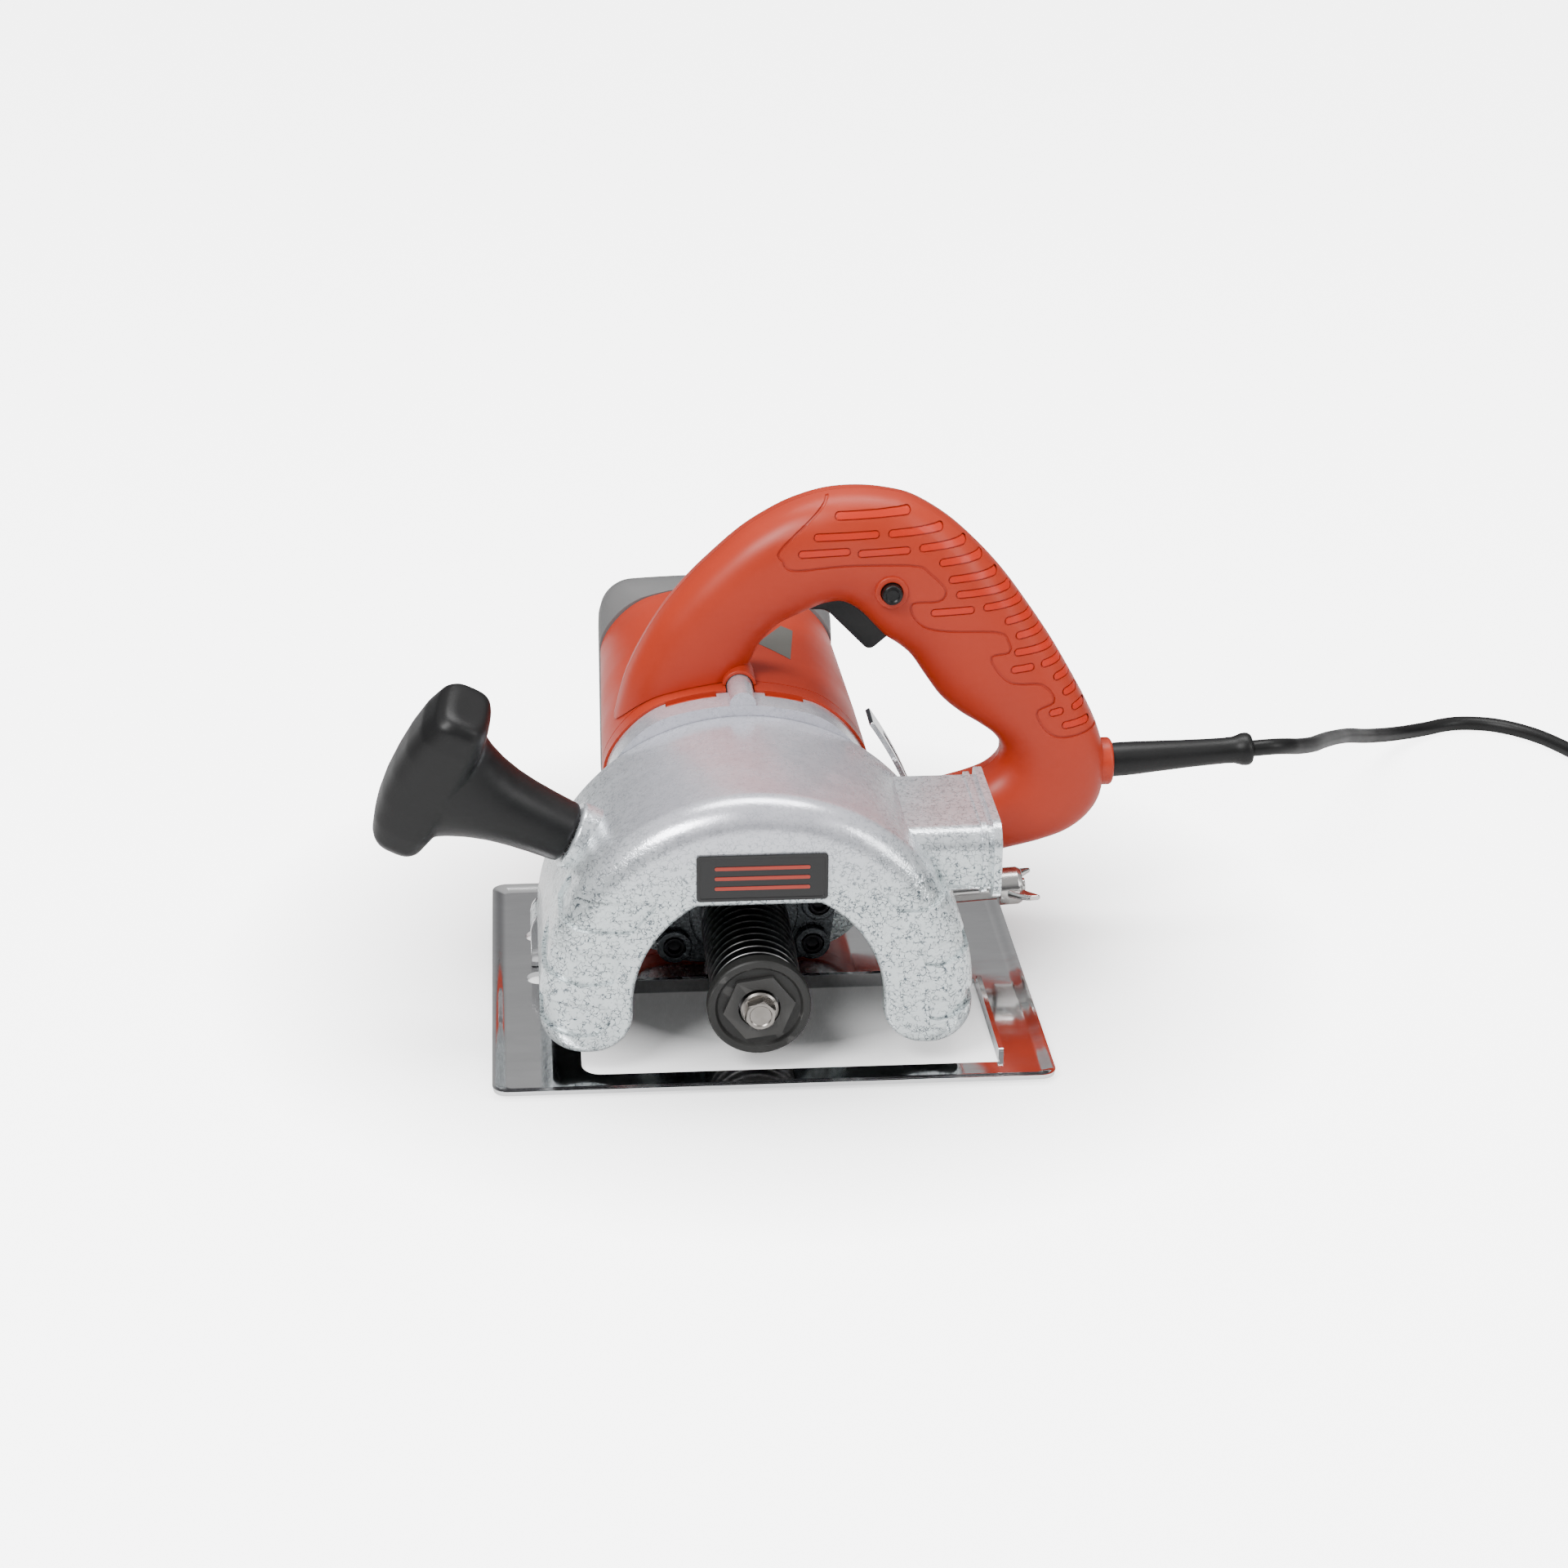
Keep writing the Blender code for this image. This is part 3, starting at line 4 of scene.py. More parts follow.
import bmesh
import bpy
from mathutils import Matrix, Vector


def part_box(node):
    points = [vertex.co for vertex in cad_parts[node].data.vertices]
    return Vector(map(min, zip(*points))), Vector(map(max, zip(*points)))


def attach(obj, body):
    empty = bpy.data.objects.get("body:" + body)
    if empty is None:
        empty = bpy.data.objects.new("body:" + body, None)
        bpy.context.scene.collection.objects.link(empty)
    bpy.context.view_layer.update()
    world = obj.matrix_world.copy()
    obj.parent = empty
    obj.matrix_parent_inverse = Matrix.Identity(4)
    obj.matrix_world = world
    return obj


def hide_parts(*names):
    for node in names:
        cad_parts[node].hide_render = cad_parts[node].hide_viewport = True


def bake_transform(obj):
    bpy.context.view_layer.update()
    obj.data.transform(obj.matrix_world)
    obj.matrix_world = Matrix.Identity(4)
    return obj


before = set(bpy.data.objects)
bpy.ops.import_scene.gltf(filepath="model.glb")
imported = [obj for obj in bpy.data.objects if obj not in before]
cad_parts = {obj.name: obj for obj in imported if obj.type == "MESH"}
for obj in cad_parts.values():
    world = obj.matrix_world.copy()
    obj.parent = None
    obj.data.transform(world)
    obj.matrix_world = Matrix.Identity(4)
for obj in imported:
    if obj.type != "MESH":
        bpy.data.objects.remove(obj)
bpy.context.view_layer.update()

bl_info = {
    "name": "Wall Chaser",
    "version": (1, 0, 0),
    "blender": (4, 5, 0),
    "location": "3D View > Sidebar > Wall Chaser",
    "description": "Builds the finished pieces of a wall chaser around its frame",
    "category": "Object",
}

mm = 0.001
RIGHT, REAR, UP = Vector((1, 0, 0)), Vector((0, 1, 0)), Vector((0, 0, 1))

# Places on the frame
SPINDLE_Z = 29.5 * mm
MOTOR_X, MOTOR_Z = -1.5 * mm, 64.47 * mm
PIVOT = Vector((-80 * mm, 0, 18 * mm))
HOOD_RADIUS, HOOD_WALL, HOOD_DEPTH, HOOD_FILLET = 86 * mm, 4.5 * mm, 90 * mm, 13 * mm
LEG_INNER, LEG_BOTTOM, ARCH_TOP = 49.5 * mm, 8 * mm, 72.7 * mm
SPOUT_FRONT, SPOUT_BACK, SPOUT_LOW, SPOUT_HIGH, SPOUT_END = (v * mm for v in (-65, -5, 63, 90, 98))
CASE_HALF_WIDTH, CASE_HALF_HEIGHT, CASE_CORNER = 55.5 * mm, 56.5 * mm, 26 * mm
CASE_TOP = MOTOR_Z + CASE_HALF_HEIGHT
COLLAR_BACK = 15 * mm
RIDGE_RADIUS = 5.4 * mm
CROWN = 190 * mm
HANDLE_Y, HANDLE_HALF, HANDLE_WALL, HANDLE_FULLNESS = 40 * mm, 17.8 * mm, 3 * mm, 2.6
GRIP_PLACE = Vector((-69 * mm, -40 * mm, 81.5 * mm))
GRIP_TILT = math.radians(27)
GRIP_AXIS = Vector((-math.cos(GRIP_TILT), 0, math.sin(GRIP_TILT)))
COVER_SCREWS = [(-29 * mm, 15 * mm), (29 * mm, 15 * mm), (31.5 * mm, 33 * mm), (-30 * mm, 50 * mm)]
BUTTON_PLACE = Vector((62.7 * mm, HANDLE_Y, 159.5 * mm))
STRIP_RADIUS, STRIP_FRONT, STRIP_BACK, SHEET = 161.5 * mm, 3 * mm, 19 * mm, 2 * mm
CLAMP_ANGLE = math.radians(3.5)
CORD_EXIT = Vector((222.3 * mm, 40 * mm, 78 * mm))
CORD_RADIUS = 3.5 * mm


# ---------------------------------------------------------------- lines and outlines

def arc(centre, radius, start_deg, end_deg, steps):
    """Points on an arc, both ends included."""
    return [(centre[0] + radius * math.cos(math.radians(a)), centre[1] + radius * math.sin(math.radians(a)))
            for a in (start_deg + (end_deg - start_deg) * i / steps for i in range(steps + 1))]


def rounded(corners, steps=8):
    """A closed outline from (u, v, radius) corners, each rounded with an arc."""
    points = []
    for i, (u, v, radius) in enumerate(corners):
        here = Vector((u, v))
        if not radius:
            points.append((u, v))
            continue
        before = (Vector(corners[i - 1][:2]) - here).normalized()
        after = (Vector(corners[(i + 1) % len(corners)][:2]) - here).normalized()
        half = before.angle(after) / 2
        centre = here + (before + after).normalized() * (radius / math.sin(half))
        first = here + before * (radius / math.tan(half)) - centre
        last = here + after * (radius / math.tan(half)) - centre
        start = math.atan2(first.y, first.x)
        sweep = (math.atan2(last.y, last.x) - start + math.pi) % (2 * math.pi) - math.pi
        for k in range(steps + 1):
            angle = start + sweep * k / steps
            points.append((centre.x + radius * math.cos(angle), centre.y + radius * math.sin(angle)))
    return points


def rectangle(left, right, low, high, radius, steps=8):
    return rounded([(left, low, radius), (right, low, radius), (right, high, radius), (left, high, radius)], steps)


def belt(circles, steps=72):
    """The outline of a belt pulled tight around circles given as (u, v, radius)."""
    cloud = sorted({(round(x + r * math.cos(2 * math.pi * k / steps), 7),
                     round(z + r * math.sin(2 * math.pi * k / steps), 7))
                    for x, z, r in circles for k in range(steps)})

    def half(points):
        side = []
        for p in points:
            while len(side) > 1 and ((side[-1][0] - side[-2][0]) * (p[1] - side[-2][1])
                                     - (side[-1][1] - side[-2][1]) * (p[0] - side[-2][0])) <= 0:
                side.pop()
            side.append(p)
        return side[:-1]

    return half(cloud) + half(cloud[::-1])


def smooth_line(points, count):
    """Points at even spacing along a smooth curve through the given points."""
    knots = [Vector(p) for p in points]
    ends = [2 * knots[0] - knots[1]] + knots + [2 * knots[-1] - knots[-2]]
    fine = []
    for i in range(1, len(ends) - 2):
        a, b, c, d = ends[i - 1:i + 3]
        for k in range(16):
            t = k / 16
            fine.append(0.5 * (2 * b + (c - a) * t + (2 * a - 5 * b + 4 * c - d) * t ** 2
                               + (3 * b - a - 3 * c + d) * t ** 3))
    fine.append(knots[-1])
    lengths = [0.0]
    for first, second in zip(fine, fine[1:]):
        lengths.append(lengths[-1] + (second - first).length)
    even = []
    j = 0
    for k in range(count):
        target = lengths[-1] * k / (count - 1)
        while j < len(fine) - 2 and lengths[j + 1] < target:
            j += 1
        share = (target - lengths[j]) / (lengths[j + 1] - lengths[j])
        even.append(fine[j].lerp(fine[j + 1], min(share, 1.0)))
    return even


def squared(angle, power):
    """The point of a unit circle at an angle, pushed towards a square as power grows over 2."""
    return (math.copysign(abs(math.cos(angle)) ** (2 / power), math.cos(angle)),
            math.copysign(abs(math.sin(angle)) ** (2 / power), math.sin(angle)))


def ease(t):
    t = min(max(t, 0.0), 1.0)
    return t * t * (3 - 2 * t)


# ---------------------------------------------------------------- meshes

def new_piece(name, bm):
    """Close a bmesh into an object with its faces pointing out."""
    bmesh.ops.remove_doubles(bm, verts=bm.verts, dist=0.000002)
    bmesh.ops.recalc_face_normals(bm, faces=bm.faces)
    mesh = bpy.data.meshes.new(name)
    bm.to_mesh(mesh)
    bm.free()
    obj = bpy.data.objects.new(name, mesh)
    bpy.context.scene.collection.objects.link(obj)
    return obj


def skin(name, loops, cyclic=False):
    """Skin closed loops of equal point count; a loop of one point is a pole."""
    bm = bmesh.new()
    rows = [[bm.verts.new(point) for point in loop] for loop in loops]
    pairs = list(zip(rows, rows[1:])) + ([(rows[-1], rows[0])] if cyclic else [])
    for near, far in pairs:
        count = max(len(near), len(far))
        for i in range(count):
            j = (i + 1) % count
            corners = [near[i % len(near)], near[j % len(near)], far[j % len(far)], far[i % len(far)]]
            corners = [v for k, v in enumerate(corners) if v not in corners[:k]]
            if len(corners) > 2:
                bm.faces.new(corners)
    if not cyclic:
        for row in (rows[0], rows[-1]):
            if len(row) > 2:
                bm.faces.new(row)
    return new_piece(name, bm)


def lathe(name, profile, place, direction=REAR, steps=64):
    """Turn (radius, height) pairs about an axis; a profile clear of the axis is a closed ring."""
    turn = UP.rotation_difference(Vector(direction))
    loops = []
    for radius, height in profile:
        if radius < 1e-7:
            loops.append([Vector(place) + turn @ Vector((0, 0, height))])
            continue
        loops.append([Vector(place) + turn @ Vector((radius * math.cos(a), radius * math.sin(a), height))
                      for a in (2 * math.pi * k / steps for k in range(steps))])
    return skin(name, loops, cyclic=profile[0][0] > 1e-7)


def turned(name, corners, place, direction=REAR, steps=64):
    """Lathe (radius, height, fillet) corners given in millimetres."""
    profile = rounded([(r * mm, h * mm, f * mm) for r, h, f in corners], 4)
    return lathe(name, profile, place, direction, steps)


def rod(name, radius, low, high, place, direction=REAR, steps=64):
    return lathe(name, [(0, high), (radius, high), (radius, low), (0, low)], place, direction, steps)


def slab(name, outline, low, high, along="Y"):
    """Extrude an outline of (x, z) along Y, (y, z) along X or (x, y) along Z."""
    put = {"Y": lambda u, v, w: (u, w, v), "X": lambda u, v, w: (w, u, v), "Z": lambda u, v, w: (u, v, w)}[along]
    return skin(name, [[put(u, v, w) for u, v in outline] for w in (low, high)])


def block(name, low, high):
    return slab(name, [(low[0], low[1]), (high[0], low[1]), (high[0], high[1]), (low[0], high[1])],
                low[2], high[2], "Z")


def sweep(name, points, radius, sides=16):
    """A round tube along points, with flat ends; radius is a number or one for each point."""
    radii = radius if isinstance(radius, list) else [radius] * len(points)
    points = [Vector(p) for p in points]
    loops = []
    across = None
    for i, point in enumerate(points):
        ahead = (points[min(i + 1, len(points) - 1)] - points[max(i - 1, 0)]).normalized()
        if across is None:
            across = ahead.cross(UP if abs(ahead.z) < 0.9 else RIGHT).normalized()
        across = (across - ahead * across.dot(ahead)).normalized()
        third = ahead.cross(across)
        loops.append([point + (across * math.cos(a) + third * math.sin(a)) * radii[i]
                      for a in (2 * math.pi * k / sides for k in range(sides))])
    return skin(name, loops)


def baked(obj):
    """Turn an object with modifiers into a plain mesh."""
    graph = bpy.context.evaluated_depsgraph_get()
    mesh = bpy.data.meshes.new_from_object(obj.evaluated_get(graph))
    obj.modifiers.clear()
    obj.data = mesh
    return obj


def weld(obj, distance=0.00001):
    bm = bmesh.new()
    bm.from_mesh(obj.data)
    bmesh.ops.remove_doubles(bm, verts=bm.verts, dist=distance)
    bmesh.ops.dissolve_degenerate(bm, edges=bm.edges, dist=distance / 2)
    bm.to_mesh(obj.data)
    bm.free()
    return obj


def carve(obj, *tools, operation="DIFFERENCE", keep=False):
    """Cut with, join or intersect closed tools, one after another."""
    for tool in tools:
        modifier = obj.modifiers.new("carve", "BOOLEAN")
        modifier.operation = operation
        modifier.object = tool
        modifier.solver = "EXACT"
        modifier.material_mode = "TRANSFER"
        weld(baked(obj))
        if not keep:
            bpy.data.objects.remove(tool)
    return obj


def unite(obj, *tools):
    return carve(obj, *tools, operation="UNION")


def drop(*objects):
    for obj in objects:
        bpy.data.objects.remove(obj)


def shade(obj, sharp_deg):
    """Smooth shading, broken at edges sharper than the angle."""
    obj.data.shade_smooth()
    obj.data.set_sharp_from_angle(angle=math.radians(sharp_deg))


def settle(obj, width=0.4 * mm, segments=2, angle_deg=32, sharp_deg=50):
    """Break the sharp edges, then fix the shading to the large faces."""
    if width:
        bevel = obj.modifiers.new("edges", "BEVEL")
        bevel.width = width
        bevel.segments = segments
        bevel.limit_method = "ANGLE"
        bevel.angle_limit = math.radians(angle_deg)
        bevel.use_clamp_overlap = True
        bevel.miter_outer = "MITER_ARC"
        baked(obj)
    shade(obj, sharp_deg)
    weights = obj.modifiers.new("shading", "WEIGHTED_NORMAL")
    weights.keep_sharp = True
    return baked(obj)


def dress(obj, body, material, slot, *nodes):
    """Give a finished piece its material and body, and hide the nodes that it stands for; slot is not used."""
    if not any(obj.data.materials):
        obj.data.materials.clear()
        obj.data.materials.append(material)
        for polygon in obj.data.polygons:
            polygon.material_index = 0
    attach(obj, body)
    if nodes:
        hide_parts(*nodes)
    return obj


def copies(name, source, places, material):
    """Copies of a source piece at the given places, by Geometry Nodes, as one plain mesh."""
    holder_mesh = bpy.data.meshes.new(name)
    holder_mesh.from_pydata([tuple(p) for p in places], [], [])
    holder = bpy.data.objects.new(name, holder_mesh)
    bpy.context.scene.collection.objects.link(holder)
    tree = bpy.data.node_groups.new(name + "_copies", "GeometryNodeTree")
    face = tree.interface
    face.new_socket("Geometry", in_out="INPUT", socket_type="NodeSocketGeometry")
    piece_socket = face.new_socket("Piece", in_out="INPUT", socket_type="NodeSocketObject")
    finish_socket = face.new_socket("Finish", in_out="INPUT", socket_type="NodeSocketMaterial")
    size_socket = face.new_socket("Size", in_out="INPUT", socket_type="NodeSocketFloat")
    face.new_socket("Geometry", in_out="OUTPUT", socket_type="NodeSocketGeometry")
    enter, leave = tree.nodes.new("NodeGroupInput"), tree.nodes.new("NodeGroupOutput")
    info = tree.nodes.new("GeometryNodeObjectInfo")
    spread = tree.nodes.new("GeometryNodeInstanceOnPoints")
    real = tree.nodes.new("GeometryNodeRealizeInstances")
    paint = tree.nodes.new("GeometryNodeSetMaterial")
    links = tree.links
    links.new(enter.outputs["Piece"], info.inputs["Object"])
    links.new(enter.outputs["Geometry"], spread.inputs["Points"])
    links.new(info.outputs["Geometry"], spread.inputs["Instance"])
    links.new(enter.outputs["Size"], spread.inputs["Scale"])
    links.new(spread.outputs["Instances"], real.inputs["Geometry"])
    links.new(real.outputs["Geometry"], paint.inputs["Geometry"])
    links.new(enter.outputs["Finish"], paint.inputs["Material"])
    links.new(paint.outputs["Geometry"], leave.inputs["Geometry"])
    modifier = holder.modifiers.new("copies", "NODES")
    modifier.node_group = tree
    modifier[piece_socket.identifier] = source
    modifier[finish_socket.identifier] = material
    modifier[size_socket.identifier] = 1.0
    baked(holder)
    drop(source)
    return holder


# ---------------------------------------------------------------- materials

def add(tree, kind, inputs=None, **settings):
    """A shader node with its inputs linked or set."""
    made = tree.nodes.new("ShaderNode" + kind)
    for key, value in settings.items():
        setattr(made, key, value)
    for key, value in (inputs or {}).items():
        if isinstance(value, bpy.types.NodeSocket):
            tree.links.new(value, made.inputs[key])
        else:
            made.inputs[key].default_value = value
    return made


def scaled(tree, value, low, high, to_low=0.0, to_high=1.0):
    return add(tree, "MapRange", {"Value": value, "From Min": low, "From Max": high,
                                  "To Min": to_low, "To Max": to_high}).outputs["Result"]


def blended(tree, share, first, second, mode="MIX"):
    mix = add(tree, "Mix", {0: share, 6: first, 7: second}, data_type="RGBA", blend_type=mode)
    return mix.outputs[2]


def tone(colour, factor=1.0):
    return (*(min(c * factor, 1.0) for c in colour), 1.0)


def blank(name, metallic, coat=0.0, coat_roughness=0.1, specular=0.5):
    """A material with a Principled shader and its object coordinates."""
    material = bpy.data.materials.new(name)
    material.use_nodes = True
    tree = material.node_tree
    shader = tree.nodes["Principled BSDF"]
    shader.inputs["Metallic"].default_value = metallic
    shader.inputs["Coat Weight"].default_value = coat
    shader.inputs["Coat Roughness"].default_value = coat_roughness
    shader.inputs["Specular IOR Level"].default_value = specular
    return material, tree, shader, add(tree, "TexCoord").outputs["Object"]


def noise(tree, coord, size, detail=2.0, rough=0.5):
    return add(tree, "TexNoise", {"Vector": coord, "Scale": 1 / size, "Detail": detail, "Roughness": rough})


def hammered_paint(name, light, dark, cell):
    """Hammertone paint: raised pale cells with thin broken dark lines, which fade out towards the top."""
    material, tree, shader, coord = blank(name, 0.55, coat=0.4, coat_roughness=0.08)
    warp = add(tree, "VectorMath", {0: noise(tree, coord, cell * 0.8, 2.0).outputs["Color"], 1: (0.5, 0.5, 0.5)},
               operation="SUBTRACT").outputs[0]
    push = add(tree, "VectorMath", {0: warp, "Scale": cell * 1.5}, operation="SCALE").outputs[0]
    bent = add(tree, "VectorMath", {0: coord, 1: push}, operation="ADD").outputs[0]
    cells = add(tree, "TexVoronoi", {"Vector": bent, "Scale": 1 / cell}, feature="DISTANCE_TO_EDGE")
    line = scaled(tree, cells.outputs["Distance"], 0.02, 0.085, 1.0, 0.0)
    gaps = scaled(tree, noise(tree, coord, cell * 1.5).outputs["Fac"], 0.40, 0.50)
    broken = add(tree, "Math", {0: line, 1: gaps}, operation="MULTIPLY").outputs[0]
    height = add(tree, "SeparateXYZ", {0: coord}).outputs["Z"]
    # Towards the top of the hood the dark lines and the relief weaken, and the paint turns warmer and a little darker.
    edge_wear_and_top_fade = scaled(tree, height, 74 * mm, 108 * mm, 1.0, 0.22)
    share = add(tree, "Math", {0: broken, 1: edge_wear_and_top_fade}, operation="MULTIPLY").outputs[0]
    mottle = scaled(tree, noise(tree, coord, cell * 4, 3.0).outputs["Fac"], 0.35, 0.68)
    body = blended(tree, mottle, tone(light, 0.95), tone(light, 1.04))
    warmer = tone((light[0], light[1] * 0.9, light[2]), 0.93)
    crest = blended(tree, scaled(tree, edge_wear_and_top_fade, 0.22, 1.0, 0.75, 0.0), body, warmer)
    tree.links.new(blended(tree, share, crest, tone(dark)), shader.inputs["Base Color"])
    tree.links.new(scaled(tree, mottle, 0, 1, 0.22, 0.30), shader.inputs["Roughness"])
    hills = scaled(tree, cells.outputs["Distance"], 0.0, 0.42)
    relief = add(tree, "Bump", {"Height": hills, "Strength": scaled(tree, edge_wear_and_top_fade, 0.22, 1.0, 0.15, 0.6),
                                "Distance": 0.15 * mm})
    tree.links.new(relief.outputs["Normal"], shader.inputs["Normal"])
    return material


def moulded(name, colour, roughness, grain=0.5 * mm, depth=0.02 * mm, spread=0.05, wear=0.0, coat=0.0):
    """Moulded plastic or rubber: fine grain, slow changes of shade, paler rubbed edges."""
    material, tree, shader, coord = blank(name, 0.0, coat=coat, coat_roughness=0.25, specular=0.32)
    slow = scaled(tree, noise(tree, coord, 28 * mm, 4.0).outputs["Fac"], 0.3, 0.7)
    colours = blended(tree, slow, tone(colour, 1 - spread), tone(colour, 1 + spread))
    if wear:
        edge = add(tree, "NewGeometry").outputs["Pointiness"]
        rubbed = scaled(tree, edge, 0.52, 0.60, 0.0, wear)
        colours = blended(tree, rubbed, colours, (0.32, 0.31, 0.30, 1))
    tree.links.new(colours, shader.inputs["Base Color"])
    fine = noise(tree, coord, grain, 2.0)
    tree.links.new(scaled(tree, slow, 0, 1, roughness - 0.04, roughness + 0.05), shader.inputs["Roughness"])
    relief = add(tree, "Bump", {"Height": fine.outputs["Fac"], "Strength": 0.5, "Distance": depth})
    tree.links.new(relief.outputs["Normal"], shader.inputs["Normal"])
    return material


def plated(name, colour, roughness, smear=0.1):
    """Bright plated sheet with soft smears and a slight wave from pressing."""
    material, tree, shader, coord = blank(name, 1.0)
    stretched = add(tree, "Mapping", {"Vector": coord, "Scale": (1.0, 3.2, 1.0)}).outputs[0]
    film = noise(tree, stretched, 34 * mm, 5.0, 0.6).outputs["Fac"]
    tree.links.new(blended(tree, scaled(tree, film, 0.35, 0.7), tone(colour), tone(colour, 0.9)),
                   shader.inputs["Base Color"])
    tree.links.new(scaled(tree, film, 0.42, 0.72, roughness, roughness + smear), shader.inputs["Roughness"])
    wave = noise(tree, coord, 45 * mm, 1.0).outputs["Fac"]
    relief = add(tree, "Bump", {"Height": wave, "Strength": 0.25, "Distance": 0.5 * mm})
    tree.links.new(relief.outputs["Normal"], shader.inputs["Normal"])
    return material


def machined(name, colour, roughness, centre=(0, 0, 0), pitch=0.35 * mm, edge_wear_and_top_fade=0.0):
    """Turned metal: fine rings about an axis along Y, duller in patches."""
    material, tree, shader, coord = blank(name, 1.0)
    moved = add(tree, "Mapping", {"Vector": coord, "Location": tuple(-c for c in centre)}).outputs[0]
    rings = add(tree, "TexWave", {"Vector": moved, "Scale": 0.314 / pitch, "Distortion": 0.6, "Detail": 1.0},
                wave_type="RINGS", rings_direction="Y").outputs["Fac"]
    patch = scaled(tree, noise(tree, coord, 6 * mm, 4.0).outputs["Fac"], 0.35, 0.65)
    edge = scaled(tree, add(tree, "NewGeometry").outputs["Pointiness"], 0.52, 0.58, 0.0, edge_wear_and_top_fade)
    tree.links.new(blended(tree, edge, blended(tree, patch, tone(colour), tone(colour, 0.85)), (0.6, 0.6, 0.6, 1)),
                   shader.inputs["Base Color"])
    tree.links.new(scaled(tree, patch, 0, 1, roughness, roughness + 0.12), shader.inputs["Roughness"])
    relief = add(tree, "Bump", {"Height": rings, "Strength": 0.2, "Distance": 0.02 * mm})
    tree.links.new(relief.outputs["Normal"], shader.inputs["Normal"])
    return material


def laid_rings(name, dark, bright, pitch, start):
    """Blackened rings side by side with bright outer rims; on the spacer rings the bright rims are a painted highlight
    for the glints along their edges.
    """
    material, tree, shader, coord = blank(name, 1.0)
    place = add(tree, "SeparateXYZ", {0: coord}).outputs["Y"]
    shifted = add(tree, "Math", {0: place, 1: -start}, operation="ADD").outputs[0]
    turns = add(tree, "Math", {0: shifted, 1: 1 / pitch}, operation="MULTIPLY").outputs[0]
    phase = add(tree, "Math", {0: turns}, operation="FRACT").outputs[0]
    away = add(tree, "Math", {0: add(tree, "Math", {0: phase, 1: -0.5}, operation="ADD").outputs[0]},
               operation="ABSOLUTE").outputs[0]
    # bright rim mask: on the spacer rings a painted highlight for the glints along their edges
    rim = scaled(tree, away, 0.34, 0.42)
    dull = scaled(tree, noise(tree, coord, 5 * mm, 4.0).outputs["Fac"], 0.3, 0.75, 0.3, 1.0)
    share = add(tree, "Math", {0: rim, 1: dull}, operation="MULTIPLY").outputs[0]
    tree.links.new(blended(tree, share, tone(dark), tone(bright)), shader.inputs["Base Color"])
    tree.links.new(scaled(tree, dull, 0.3, 1.0, 0.3, 0.42), shader.inputs["Roughness"])
    return material


MADE = {}


